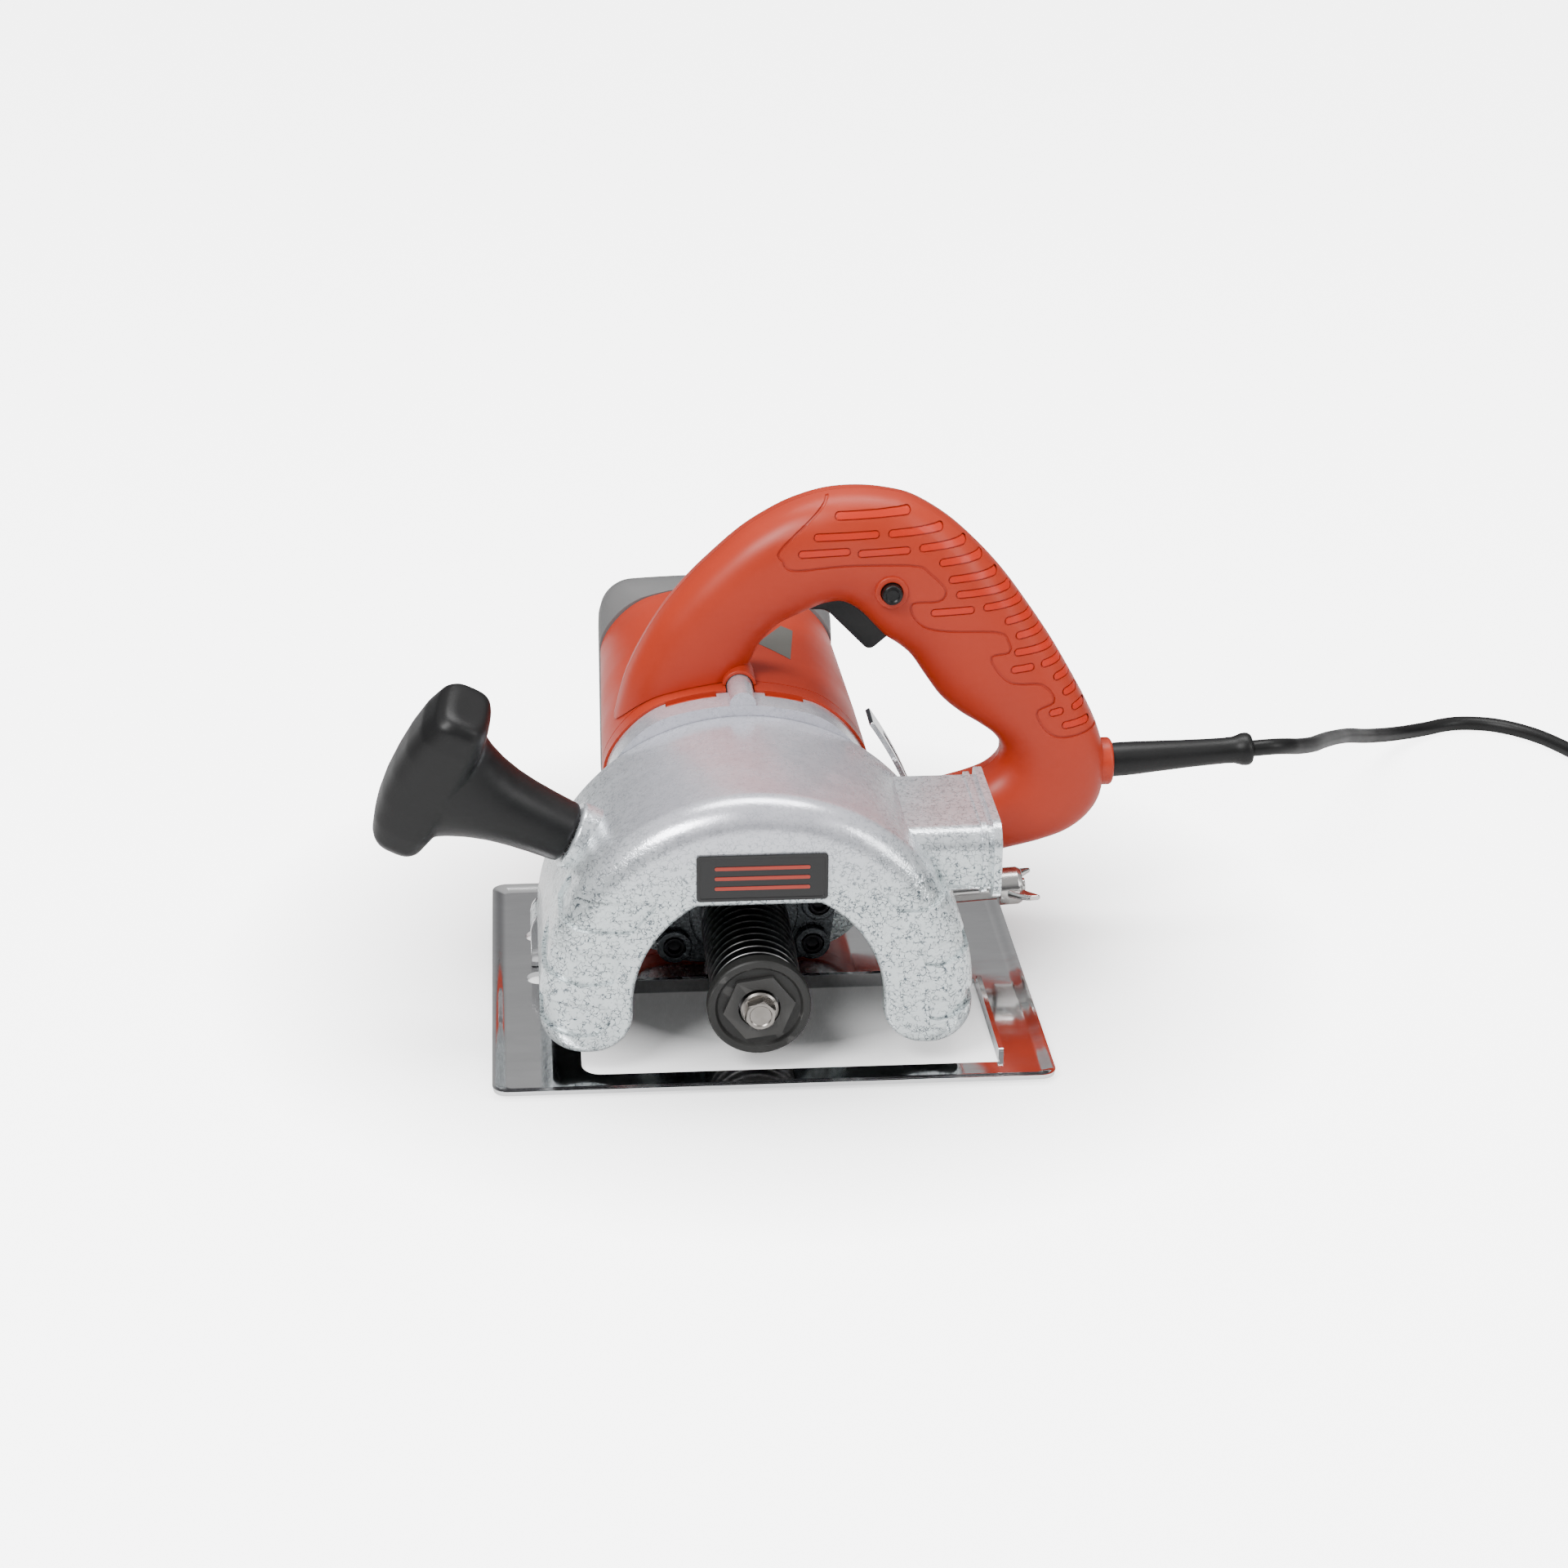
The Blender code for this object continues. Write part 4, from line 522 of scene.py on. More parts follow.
def finish(name):
    """The machine's finishes, each made once."""
    look = bpy.context.scene.chaser_looks
    recipes = {
        "hammered_grey": lambda n: hammered_paint(n, look.paint, look.paint_lines, look.paint_cell),
        # near-black paint for the hood's inside: painted shade standing in for the shadow within the hood
        "hood_inside_painted_shade": lambda n: moulded(n, (0.045, 0.05, 0.053), 0.5, 1.2 * mm, 0.06 * mm, 0.25),
        # darkened hammered paint for the gear cover: painted shade for the shadow it lies in behind the hood
        "cast_painted_shade": lambda n: hammered_paint(n, (0.11, 0.125, 0.135), (0.035, 0.04, 0.045), look.paint_cell),
        "orange_moulding": lambda n: moulded(n, look.orange, 0.40, 0.42 * mm, 0.018 * mm, 0.03),
        "orange_inserts": lambda n: moulded(n, look.insert, 0.34, 0.3 * mm, 0.01 * mm, 0.04),
        "grey_moulding": lambda n: moulded(n, look.grey, 0.45, 0.4 * mm, 0.02 * mm, 0.04),
        "black_moulding": lambda n: moulded(n, (0.004, 0.004, 0.0042), 0.38, 0.4 * mm, 0.02 * mm, 0.1, 0.02),
        "grip_rubber": lambda n: moulded(n, (0.006, 0.006, 0.0063), 0.42, 0.9 * mm, 0.04 * mm, 0.25, 0.05),
        "cord_jacket": lambda n: moulded(n, (0.005, 0.005, 0.0052), 0.46, 0.8 * mm, 0.03 * mm, 0.2),
        "chrome_sheet": lambda n: plated(n, (0.80, 0.80, 0.81), 0.07, 0.11),
        "bright_steel": lambda n: plated(n, (0.66, 0.65, 0.63), 0.16, 0.12),
        "bolt_steel": lambda n: machined(n, (0.30, 0.28, 0.26), 0.24, (0, 0, SPINDLE_Z), 0.4 * mm),
        "black_oxide": lambda n: machined(n, (0.028, 0.028, 0.03), 0.3, (0, 0, SPINDLE_Z), 0.5 * mm, 0.25),
        "blacked_flange": lambda n: moulded(n, (0.022, 0.022, 0.021), 0.46, 0.5 * mm, 0.01 * mm, 0.2, 0.12),
        "screw_black": lambda n: machined(n, (0.03, 0.03, 0.032), 0.34, (0, 0, 0), 0.4 * mm, 0.2),
        # spacer rings: black with bright rims painted as highlight for their edge glints
        "spacer_rings": lambda n: laid_rings(n, (0.022, 0.022, 0.024), (0.42, 0.42, 0.42), look.ring_pitch,
                                             -18 * mm),
        "bearing_steel": lambda n: machined(n, (0.56, 0.57, 0.59), 0.2, (MOTOR_X, 0, MOTOR_Z)),
        "core_laminations": lambda n: laid_rings(n, (0.2, 0.2, 0.21), (0.5, 0.5, 0.5), 0.7 * mm, 0),
        "winding_copper": lambda n: machined(n, (0.72, 0.30, 0.14), 0.3, (MOTOR_X, 0, MOTOR_Z), 0.8 * mm),
        "brass": lambda n: machined(n, (0.74, 0.56, 0.26), 0.24, (0, 0, 0), 0.5 * mm),
        "carbon": lambda n: moulded(n, (0.03, 0.03, 0.032), 0.7, 0.3 * mm, 0.03 * mm, 0.2),
        "badge_black": lambda n: moulded(n, (0.005, 0.005, 0.0055), 0.3, 0.6 * mm, 0.008 * mm, 0.1, 0.0, 0.4),
        "badge_bars": lambda n: moulded(n, (0.36, 0.05, 0.035), 0.4, 0.5 * mm, 0.01 * mm, 0.05),
        "label_grey": lambda n: moulded(n, (0.115, 0.115, 0.105), 0.42, 0.6 * mm, 0.006 * mm, 0.08),
        "sticker_orange": lambda n: moulded(n, (0.72, 0.16, 0.08), 0.35, 0.6 * mm, 0.006 * mm, 0.04),
        "sticker_white": lambda n: moulded(n, (0.75, 0.75, 0.75), 0.4, 0.6 * mm, 0.006 * mm, 0.03),
        "tie_black": lambda n: moulded(n, (0.02, 0.02, 0.02), 0.5, 0.5 * mm, 0.02 * mm, 0.1),
    }
    if name not in MADE:
        MADE[name] = recipes[name](name)
    return MADE[name]


# ---------------------------------------------------------------- sizes and colours

class ChaserLooks(bpy.types.PropertyGroup):
    paint: bpy.props.FloatVectorProperty(
        name="Paint", description="Colour of the hammered paint's raised cells", subtype="COLOR",
        default=(0.74, 0.80, 0.81), min=0, max=1)
    paint_lines: bpy.props.FloatVectorProperty(
        name="Paint lines", description="Colour of the lines between the paint's cells", subtype="COLOR",
        default=(0.085, 0.11, 0.13), min=0, max=1)
    paint_cell: bpy.props.FloatProperty(
        name="Paint cell", description="Size of one cell of the hammered paint", default=2.3 * mm, unit="LENGTH")
    orange: bpy.props.FloatVectorProperty(
        name="Moulding", description="Colour of the handle and the motor housing", subtype="COLOR",
        default=(0.42, 0.034, 0.012), min=0, max=1)
    insert: bpy.props.FloatVectorProperty(
        name="Grip bars", description="Colour of the soft bars in the handle", subtype="COLOR",
        default=(0.54, 0.026, 0.008), min=0, max=1)
    grey: bpy.props.FloatVectorProperty(
        name="End cap", description="Colour of the motor's end cap", subtype="COLOR",
        default=(0.145, 0.145, 0.145), min=0, max=1)
    ring_pitch: bpy.props.FloatProperty(
        name="Ring pitch", description="Width of one visible spacer ring", default=5.64 * mm, unit="LENGTH")
    floor: bpy.props.FloatProperty(
        name="Floor", description="Reflectance of the floor", default=0.82, min=0, max=1)


class ChaserSizes(bpy.types.PropertyGroup):
    cast_edge: bpy.props.FloatProperty(
        name="Cast edge", description="Radius along the casting's edges", default=0.55 * mm, unit="LENGTH")
    moulded_edge: bpy.props.FloatProperty(
        name="Moulded edge", description="Radius along the mouldings' edges", default=0.35 * mm, unit="LENGTH")
    pocket_depth: bpy.props.FloatProperty(
        name="Pocket depth", description="Depth of the hood's shallow pockets", default=1.5 * mm, unit="LENGTH")
    groove_depth: bpy.props.FloatProperty(
        name="Groove depth", description="Depth of the line round the handle's panel", default=0.6 * mm,
        unit="LENGTH")


# ---------------------------------------------------------------- stage

def light(name, place, target, size, power, colour=(1, 1, 1)):
    data = bpy.data.lights.new(name, "AREA")
    data.shape = "RECTANGLE"
    data.size, data.size_y = size
    data.energy = power
    data.color = colour
    lamp = bpy.data.objects.new(name, data)
    lamp.location = place
    lamp.rotation_euler = (Vector(target) - Vector(place)).to_track_quat("-Z", "Y").to_euler()
    bpy.context.scene.collection.objects.link(lamp)


class CHASER_OT_stage(bpy.types.Operator):
    """Camera, soft studio light and a pale floor with painted shade around the machine"""
    bl_idname = "chaser.stage"
    bl_label = "Stage"

    def execute(self, context):
        camera_data = bpy.data.cameras.new("camera")
        camera_data.lens = 71.25
        camera_data.sensor_width = 36
        camera_data.shift_x = 0.0417
        camera_data.clip_end = 30
        camera = bpy.data.objects.new("camera", camera_data)
        camera.location = (-0.0872, -1.1689, 0.5987)
        camera.rotation_euler = (math.radians(66.34), 0, math.radians(-3.78))
        context.scene.collection.objects.link(camera)
        context.scene.camera = camera
        floor = slab("floor", [(-9, -9), (9, -9), (9, 9), (-9, 9)], -0.02, -0.0002, "Z")
        paper, tree, shader, coord = blank("floor_paper", 0.0, specular=0.2)
        level = context.scene.chaser_looks.floor
        cloud = scaled(tree, noise(tree, coord, 0.6).outputs["Fac"], 0, 1, 0.0, 1.0)
        tree.links.new(blended(tree, cloud, tone((level,) * 3, 0.995), tone((level,) * 3, 1.005)),
                       shader.inputs["Base Color"])
        shader.inputs["Roughness"].default_value = 0.55
        shader.inputs["Emission Color"].default_value = (1, 1, 1, 1)
        # The floor glows for camera rays only, and only weakly near the machine: a painted shade around and under it.
        seen = add(tree, "LightPath").outputs["Is Camera Ray"]
        moved = add(tree, "Mapping", {"Vector": coord, "Location": (-0.07, -0.1, 0), "Scale": (5.2, 5.2, 0)}).outputs[0]
        away = add(tree, "VectorMath", {0: moved}, operation="LENGTH").outputs["Value"]
        glow_outside_painted_shade = scaled(tree, away, 0.45, 1.25, 0.06, 5.0)
        tree.links.new(add(tree, "Math", {0: seen, 1: glow_outside_painted_shade}, operation="MULTIPLY").outputs[0],
                       shader.inputs["Emission Strength"])
        floor.data.materials.append(paper)
        world = context.scene.world or bpy.data.worlds.new("world")
        context.scene.world = world
        world.use_nodes = True
        sky = world.node_tree.nodes["Background"]
        self.paint_room(world.node_tree, sky)
        light("key", (-0.9, -1.0, 1.5), (0, 0, 0.08), (0.8, 0.6), 40)
        light("fill", (1.4, -0.9, 0.9), (0, 0, 0.08), (0.5, 0.9), 12)
        light("top", (0.1, 0.35, 1.6), (0, 0, 0.05), (1.2, 0.5), 24)
        return {"FINISHED"}

    @staticmethod
    def paint_room(tree, sky):
        """A pale ceiling over darker walls, so that bright metal has something to mirror."""
        height = add(tree, "SeparateXYZ", {0: add(tree, "TexCoord").outputs["Generated"]}).outputs["Z"]
        wall = scaled(tree, height, 0.26, 0.60)
        tree.links.new(blended(tree, wall, (0.12, 0.12, 0.13, 1), (1, 1, 1, 1)), sky.inputs["Color"])
        sky.inputs["Strength"].default_value = 0.62


# ---------------------------------------------------------------- supply cord

CORD_ROUTE = [(222.8, 40, 78), (230, 40.2, 78.4), (237, 43.2, 77.2), (246, 53.5, 72.6), (256, 68, 67), (266, 89, 59.5),
              (279, 118, 48.5), (296, 152, 35), (315, 185, 20.5), (336, 212, 9.6), (356, 229, 4.4),
              (374, 237, 3.7), (393, 234, 3.7), (409, 221, 3.7), (420, 202, 3.7), (428, 180, 3.7),
              (433.5, 155, 3.7), (435.2, 130, 3.7)]
COIL_CENTRE = Vector((478.2 * mm, 105 * mm, 0))
COIL_OUTER, COIL_PITCH, COIL_LAYER = 43 * mm, 7.15 * mm, 7.15 * mm
COIL_LAYERS, LAYER_DEG, CLIMB_DEG = 4, 540, 90
PLUG_X, PLUG_Z, PLUG_TAIL, PLUG_FACE = 435.2 * mm, 13.4 * mm, 50 * mm, -12 * mm


def coil_path(step_deg=10):
    """Turns that spiral in and out by layers, and climb one diameter between them."""
    points = []
    inner = COIL_OUTER - COIL_PITCH * LAYER_DEG / 360
    start = 180
    for layer in range(COIL_LAYERS):
        first, last = (COIL_OUTER, inner) if layer % 2 == 0 else (inner, COIL_OUTER)
        floor = CORD_RADIUS + 0.2 * mm + layer * COIL_LAYER
        for k in range(LAYER_DEG // step_deg):
            share = k * step_deg / LAYER_DEG
            points.append((start + k * step_deg, first + (last - first) * share, floor))
        start += LAYER_DEG
        if layer < COIL_LAYERS - 1:
            for k in range(CLIMB_DEG // step_deg):
                points.append((start + k * step_deg, last, floor + COIL_LAYER * ease(k * step_deg / CLIMB_DEG)))
            start += CLIMB_DEG
    for k in range(CLIMB_DEG // step_deg + 1):
        points.append((start + k * step_deg, COIL_OUTER + COIL_PITCH * k * step_deg / 360, floor))
    return [COIL_CENTRE + Vector((r * math.cos(math.radians(a)), r * math.sin(math.radians(a)), z))
            for a, r, z in points]


class CHASER_OT_cord(bpy.types.Operator):
    """Supply cord with its guard, coil, tie and plug"""
    bl_idname = "chaser.cord"
    bl_label = "Supply cord"

    def execute(self, context):
        route = smooth_line([Vector(p) * mm for p in CORD_ROUTE], 46)
        coil = coil_path()
        leave = coil[-1]
        tail = []
        for k in range(1, 10):
            share = k / 9
            tail.append(Vector((leave.x + (PLUG_X - leave.x) * ease(share),
                                leave.y + (PLUG_TAIL + 0.2 * mm - leave.y) * share,
                                leave.z + (PLUG_Z - leave.z) * ease(share))))
        path = route + coil + tail
        line = [path[0] - (path[1] - path[0]).normalized() * 0.3 * mm] + path[1:]
        dense = smooth_line(line, 900)
        cord = sweep("supply_cord_line", dense, CORD_RADIUS, 16)
        shade(cord, 50)
        cord.data.materials.append(finish("cord_jacket"))
        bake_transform(cord)
        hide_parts("supply_cord", "cord_coil", "cord_tail")

        guard = [(0, 0.2), (5.2, 0.2), (6.2, -0.2), (6.9, -1.2), (7.1, -2.6), (6.9, -4.4), (6.3, -6.0), (5.75, -8.0),
                 (5.6, -12), (5.75, -20), (6.1, -30), (6.6, -40), (7.1, -50), (7.3, -56), (7.3, -68), (0, -68)]
        tilt = Vector((61.3, 0, 3.6)).normalized()
        sleeve = lathe("cord_sleeve", [(r * mm, h * mm) for r, h in guard], CORD_EXIT - tilt * 0.5 * mm, tilt, 48)
        dress(settle(sleeve, 0.2 * mm), "machine", finish("cord_jacket"), "soft_rubber", "cord_guard")

        low, high = COIL_OUTER - COIL_PITCH * 1.5 - 4 * mm, COIL_OUTER + 4.2 * mm
        top = COIL_LAYERS * COIL_LAYER + 0.9 * mm
        outer = rectangle(low, high, 0.02 * mm, top, 3.4 * mm)
        inner = rectangle(low + 0.35 * mm, high - 0.35 * mm, 0.17 * mm, top - 0.35 * mm, 3.05 * mm)
        angle = math.radians(40)
        out, round_ = Vector((math.cos(angle), math.sin(angle), 0)), Vector((-math.sin(angle), math.cos(angle), 0))
        loops = [[COIL_CENTRE + out * u + UP * v + round_ * w for u, v in outline]
                 for outline, w in ((outer, -4 * mm), (outer, 4 * mm), (inner, 4 * mm), (inner, -4 * mm))]
        tie = skin("cord_tie", loops, cyclic=True)
        shade(tie, 40)
        dress(tie, "sole", finish("tie_black"), "soft_rubber")

        rows = []
        for y, half_w, half_h, power in ((-12, 16.4, 11.9, 3.4), (-11, 17.3, 12.8, 3.4), (-6, 17.5, 13, 3.2),
                                         (6, 17.3, 12.6, 2.9), (14, 15.4, 11.6, 2.6), (20, 12.0, 10.2, 2.3),
                                         (26, 8.8, 8.2, 2.1), (31, 7.0, 6.8, 2.0), (34, 6.5, 6.4, 2.0)):
            rows.append((y, half_w, half_h, power))
        for k in range(4):
            rows += [(start + k * 3.6, radius - step * k, radius - step * k, 2)
                     for start, radius, step in ((35, 5.5, 0.2), (36.2, 6.3, 0.35), (37.8, 6.1, 0.35))]
        rows += [(49.6, 4.6, 4.6, 2), (50.0, 4.2, 4.2, 2)]
        loops = []
        for y, half_w, half_h, power in rows:
            loop = []
            for k in range(56):
                across, up = squared(2 * math.pi * k / 56, power)
                loop.append((PLUG_X + half_w * across * mm, y * mm, PLUG_Z + half_h * up * mm))
            loops.append(loop)
        plug = skin("mains_plug", loops)
        shade(plug, 45)
        dress(plug, "sole", finish("cord_jacket"), "soft_rubber", "plug_body")
        for side, name in ((-1, "left"), (1, "right")):
            place = (PLUG_X + side * 9.5 * mm, PLUG_FACE - 0.2 * mm, PLUG_Z)
            pin = turned("mains_pin_" + name, [(0, 0, 0), (2.4, 0, 0), (2.4, -18.7, 1.1), (0, -18.7, 0)], place,
                         REAR, 32)
            dress(settle(pin, 0), "sole", finish("brass"), "brass", "plug_pin_" + name)
        return {"FINISHED"}


# ---------------------------------------------------------------- hood

POCKETS = [
    [(-51.3, 76.1), (-41.2, 75.8), (-39.7, 73.3), (-49.6, 62.0), (-61.6, 62.6), (-71.1, 63.7), (-76.7, 65.7),
     (-90, 70.4), (-90, 76.1)],
    [(-90, 56.8), (-76.9, 56.8), (-66.8, 54.4), (-55.4, 53.6), (-54.1, 51.8), (-57.2, 40.5), (-67.1, 39.8),
     (-76.6, 41.9), (-90, 46.4)],
    [(-90, 33.3), (-77.4, 33.3), (-67.2, 31.9), (-60.8, 31.3), (-58.3, 28.3), (-58.4, 23.2), (-62.3, 18.3),
     (-70.6, 17.5), (-80.2, 19.7), (-90, 23.5)],
    [(90, 79.8), (62.1, 79.8), (50.7, 78.1), (48.5, 75.4), (54.1, 68.5), (62.5, 67.9), (70.1, 69.4), (76.4, 73.1),
     (90, 74.5)],
    [(90, 56.0), (76.3, 56.0), (66.0, 54.2), (62.9, 52.2), (65.3, 44.6), (70.8, 44.1), (77.9, 46.0), (90, 50.1)],
    [(90, 31.5), (78.3, 31.5), (69.3, 30.0), (66.7, 28.3), (67.6, 21.0), (71.5, 20.1), (78.6, 22.1), (90, 26.2)],
]


def hood_outline(inset, lip=0.0):
    """Half-round hood with two legs; the outer side moves in by inset, the arch opens by lip."""
    radius, inner = HOOD_RADIUS - inset, LEG_INNER + lip
    top = ARCH_TOP + lip
    opening = math.degrees(math.asin((top - SPINDLE_Z) / inner))
    centre = (0, SPINDLE_Z)
    low = LEG_BOTTOM + inset * 0.35
    corner = 14 * mm - inset * 0.4
    inner_corner = min(19 * mm - inset * 0.4, radius - corner - inner - 0.2 * mm)
    points = arc(centre, radius, 0, 180, 96)
    points += arc((corner - radius, low + corner), corner, 180, 270, 12)
    points += arc((-inner - inner_corner, low + inner_corner), inner_corner, 270, 360, 12)
    points += arc(centre, inner, 180, 180 - opening, 24)
    points += arc(centre, inner, opening, 0, 24)
    points += arc((inner + inner_corner, low + inner_corner), inner_corner, 180, 270, 12)
    points += arc((radius - corner, low + corner), corner, 270, 360, 12)
    return points


def hood_solid(name, depth=0.0, arch_edge=2.2 * mm):
    """The hood's full outer form, its surface moved in by depth."""
    rows = []
    for k in range(15):
        angle = math.pi / 2 * k / 14
        behind = HOOD_FILLET * (1 - math.cos(angle))
        lip = 0.0
        if behind < arch_edge:
            lip = arch_edge - math.sqrt(arch_edge ** 2 - (arch_edge - behind) ** 2)
        rows.append((behind - HOOD_DEPTH + depth, HOOD_FILLET * (1 - math.sin(angle)) + depth, lip))
    rows.append((0.0, depth, 0.0))
    return skin(name, [[(x, y, z) for x, z in hood_outline(inset, lip)] for y, inset, lip in rows])


class CHASER_OT_hood(bpy.types.Operator):
    """Cast hood with its arch, pockets and dust spout, and the blank plate on its front"""
    bl_idname = "chaser.hood"
    bl_label = "Hood"

    def execute(self, context):
        sizes = context.scene.chaser_sizes
        paint, dark = finish("hammered_grey"), finish("hood_inside_painted_shade")
        hood = hood_solid("cast_hood")
        hood.data.materials.append(paint)
        spout = slab("spout", rounded([(SPOUT_FRONT, SPOUT_LOW, 6 * mm), (SPOUT_BACK, SPOUT_LOW, 3 * mm),
                                       (SPOUT_BACK, SPOUT_HIGH, 3 * mm), (SPOUT_FRONT, SPOUT_HIGH, 9 * mm)]),
                     45 * mm, SPOUT_END - 1 * mm, "X")
        rims = []
        for low, high, grow in ((SPOUT_END - 3.2 * mm, SPOUT_END, 2.6 * mm),
                                (SPOUT_END - 7.6 * mm, SPOUT_END - 5.4 * mm, 1.2 * mm)):
            rims.append(slab("spout_rim", rounded(
                [(SPOUT_FRONT - grow, SPOUT_LOW - grow, 7 * mm), (SPOUT_BACK + grow, SPOUT_LOW - grow, 4 * mm),
                 (SPOUT_BACK + grow, SPOUT_HIGH + grow, 4 * mm), (SPOUT_FRONT - grow, SPOUT_HIGH + grow, 10 * mm)]),
                low, high, "X"))
        boss = turned("grip_boss", [(0, 3.6, 0), (14, 3.6, 1.4), (14.6, -6, 0), (0, -6, 0)], GRIP_PLACE, GRIP_AXIS)
        inset = hood_solid("hood_inset", sizes.pocket_depth)
        pockets = []
        for outline in POCKETS:
            corners = [(x * mm, z * mm, 1.5 * mm) for x, z in outline]
            pockets.append(slab("pocket", rounded(corners, 4), -99 * mm, -60 * mm))
        for pocket in pockets:
            carve(pocket, inset, keep=True)
            carve(hood, pocket)
        drop(inset)
        unite(hood, spout, *rims, boss)
        inside = HOOD_RADIUS - HOOD_WALL
        cavity = skin("hood_cavity", [
            [(x, y, z) for x, z in arc((0, SPINDLE_Z), inside - narrow, 0, 180, 96)
             + [(narrow - inside, -20 * mm), (inside - narrow, -20 * mm)]]
            for y, narrow in ((HOOD_WALL - HOOD_DEPTH, 8 * mm), (HOOD_WALL - HOOD_DEPTH + 0.7 * mm, 4.6 * mm),
                              (HOOD_WALL - HOOD_DEPTH + 2.4 * mm, 2.4 * mm),
                              (HOOD_WALL - HOOD_DEPTH + 4.8 * mm, 0.8 * mm),
                              (HOOD_WALL - HOOD_DEPTH + 8 * mm, 0), (-4 * mm, 0))])
        bore = slab("spout_bore", rounded(
            [(SPOUT_FRONT + 3 * mm, SPOUT_LOW + 3 * mm, 4 * mm), (SPOUT_BACK - 3 * mm, SPOUT_LOW + 3 * mm, 2 * mm),
             (SPOUT_BACK - 3 * mm, SPOUT_HIGH - 3 * mm, 2 * mm),
             (SPOUT_FRONT + 3 * mm, SPOUT_HIGH - 3 * mm, 6 * mm)]), 40 * mm, SPOUT_END + 5 * mm, "X")
        back_hole = slab("back_hole", belt(cover_circles(1.2 * mm)), -6 * mm, 3 * mm)
        stud_hole = rod("stud_hole", 5.4 * mm, -30 * mm, 10 * mm, GRIP_PLACE, GRIP_AXIS)
        # the cavity, bore and holes carry the near-black painted shade onto the faces they cut
        for tool in (cavity, bore, back_hole, stud_hole):
            tool.data.materials.append(dark)
        carve(hood, cavity, bore, back_hole, stud_hole)
        dress(settle(hood, sizes.cast_edge, 3), "machine", paint, "hammered_casting", "hood")

        left, right, low, high = (v * mm for v in (-24.5, 26.5, 75.6, 95.0))
        plate = slab("front_plate", rectangle(left, right, low, high, 1.5 * mm), -HOOD_DEPTH - 1.0 * mm,
                     -HOOD_DEPTH - 0.3 * mm)
        frame_cut = slab("plate_field", rectangle(left + 1.3 * mm, right - 1.3 * mm, low + 1.3 * mm, high - 1.3 * mm,
                                                  0.8 * mm), -HOOD_DEPTH - 2 * mm, -HOOD_DEPTH - 0.75 * mm)
        carve(plate, frame_cut)
        dress(settle(plate, 0.12 * mm), "machine", finish("badge_black"), "black_plastic", "front_badge")
        bar = slab("plate_bar", rectangle(-18.5 * mm, 18.5 * mm, -0.7 * mm, 0.7 * mm, 0.65 * mm, 5),
                   -0.2 * mm, 0.2 * mm)
        places = [((left + right) / 2, -HOOD_DEPTH - 0.9 * mm, (low + high) / 2 + k * 4.2 * mm) for k in (-1, 0, 1)]
        bars = copies("plate_bars", bar, places, finish("badge_bars"))
        dress(bars, "machine", finish("badge_bars"), "orange_plastic")
        return {"FINISHED"}


class CHASER_OT_grip(bpy.types.Operator):
    """T-shaped rubber grip on its stud at the left of the hood"""
    bl_idname = "chaser.grip"
    bl_label = "Side grip"

    def execute(self, context):
        swing = math.radians(105)
        across = Vector((math.sin(GRIP_TILT), 0, math.cos(GRIP_TILT)))
        along = (REAR * math.cos(swing) + across * math.sin(swing)).normalized()
        third = GRIP_AXIS.cross(along).normalized()
        rings = []
        for h, wide, deep in ((4.1, 11.4, 11.4), (5, 12.4, 12.4), (9, 12.7, 12.7), (16, 13.3, 13.1), (25, 14.4, 13.8),
                              (33, 16, 14.6), (41, 18.8, 15.4), (48, 22.5, 16), (54, 27, 16.4), (60, 30.5, 16.4),
                              (66, 30, 15)):
            middle = GRIP_PLACE + GRIP_AXIS * h * mm
            rings.append([middle + (along * wide * math.cos(t) + third * deep * math.sin(t)) * mm
                          for t in (math.pi * k / 24 for k in range(48))])
        grip = skin("rubber_grip", rings)
        loops = []
        for step, width, low, high in ((-36, 11, 57.5, 70.5), (-35, 14, 55.6, 73.4), (-31.5, 16.6, 53.8, 76.0),
                                       (-23, 17.6, 52.2, 78.6), (-12, 17.8, 51, 80), (0, 17.8, 50.6, 80.4),
                                       (12, 17.8, 51, 80), (23, 17.6, 52.2, 78.6), (31.5, 16.6, 53.8, 76.0),
                                       (35, 14, 55.6, 73.4), (36, 11, 57.5, 70.5)):
            middle = GRIP_PLACE + GRIP_AXIS * (low + high) / 2 * mm + along * (step + 1.5) * mm
            loop = []
            for k in range(40):
                a, b = squared(2 * math.pi * k / 40, 3.4)
                loop.append(middle + GRIP_AXIS * (a * (high - low) / 2 * mm) + third * (b * width * mm))
            loops.append(loop)
        unite(grip, skin("grip_head", loops))
        remesh = grip.modifiers.new("even", "REMESH")
        remesh.mode = "VOXEL"
        remesh.voxel_size = 0.8 * mm
        blend = grip.modifiers.new("blend", "SMOOTH")
        blend.factor = 0.5
        blend.iterations = 14
        baked(grip)
        grip.data.shade_smooth()
        dress(grip, "machine", finish("grip_rubber"), "soft_rubber", "side_handle_grip")
        for material_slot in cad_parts["side_handle_stud"].material_slots:
            material_slot.material = finish("bright_steel")
        return {"FINISHED"}


# ---------------------------------------------------------------- gear case and spindle

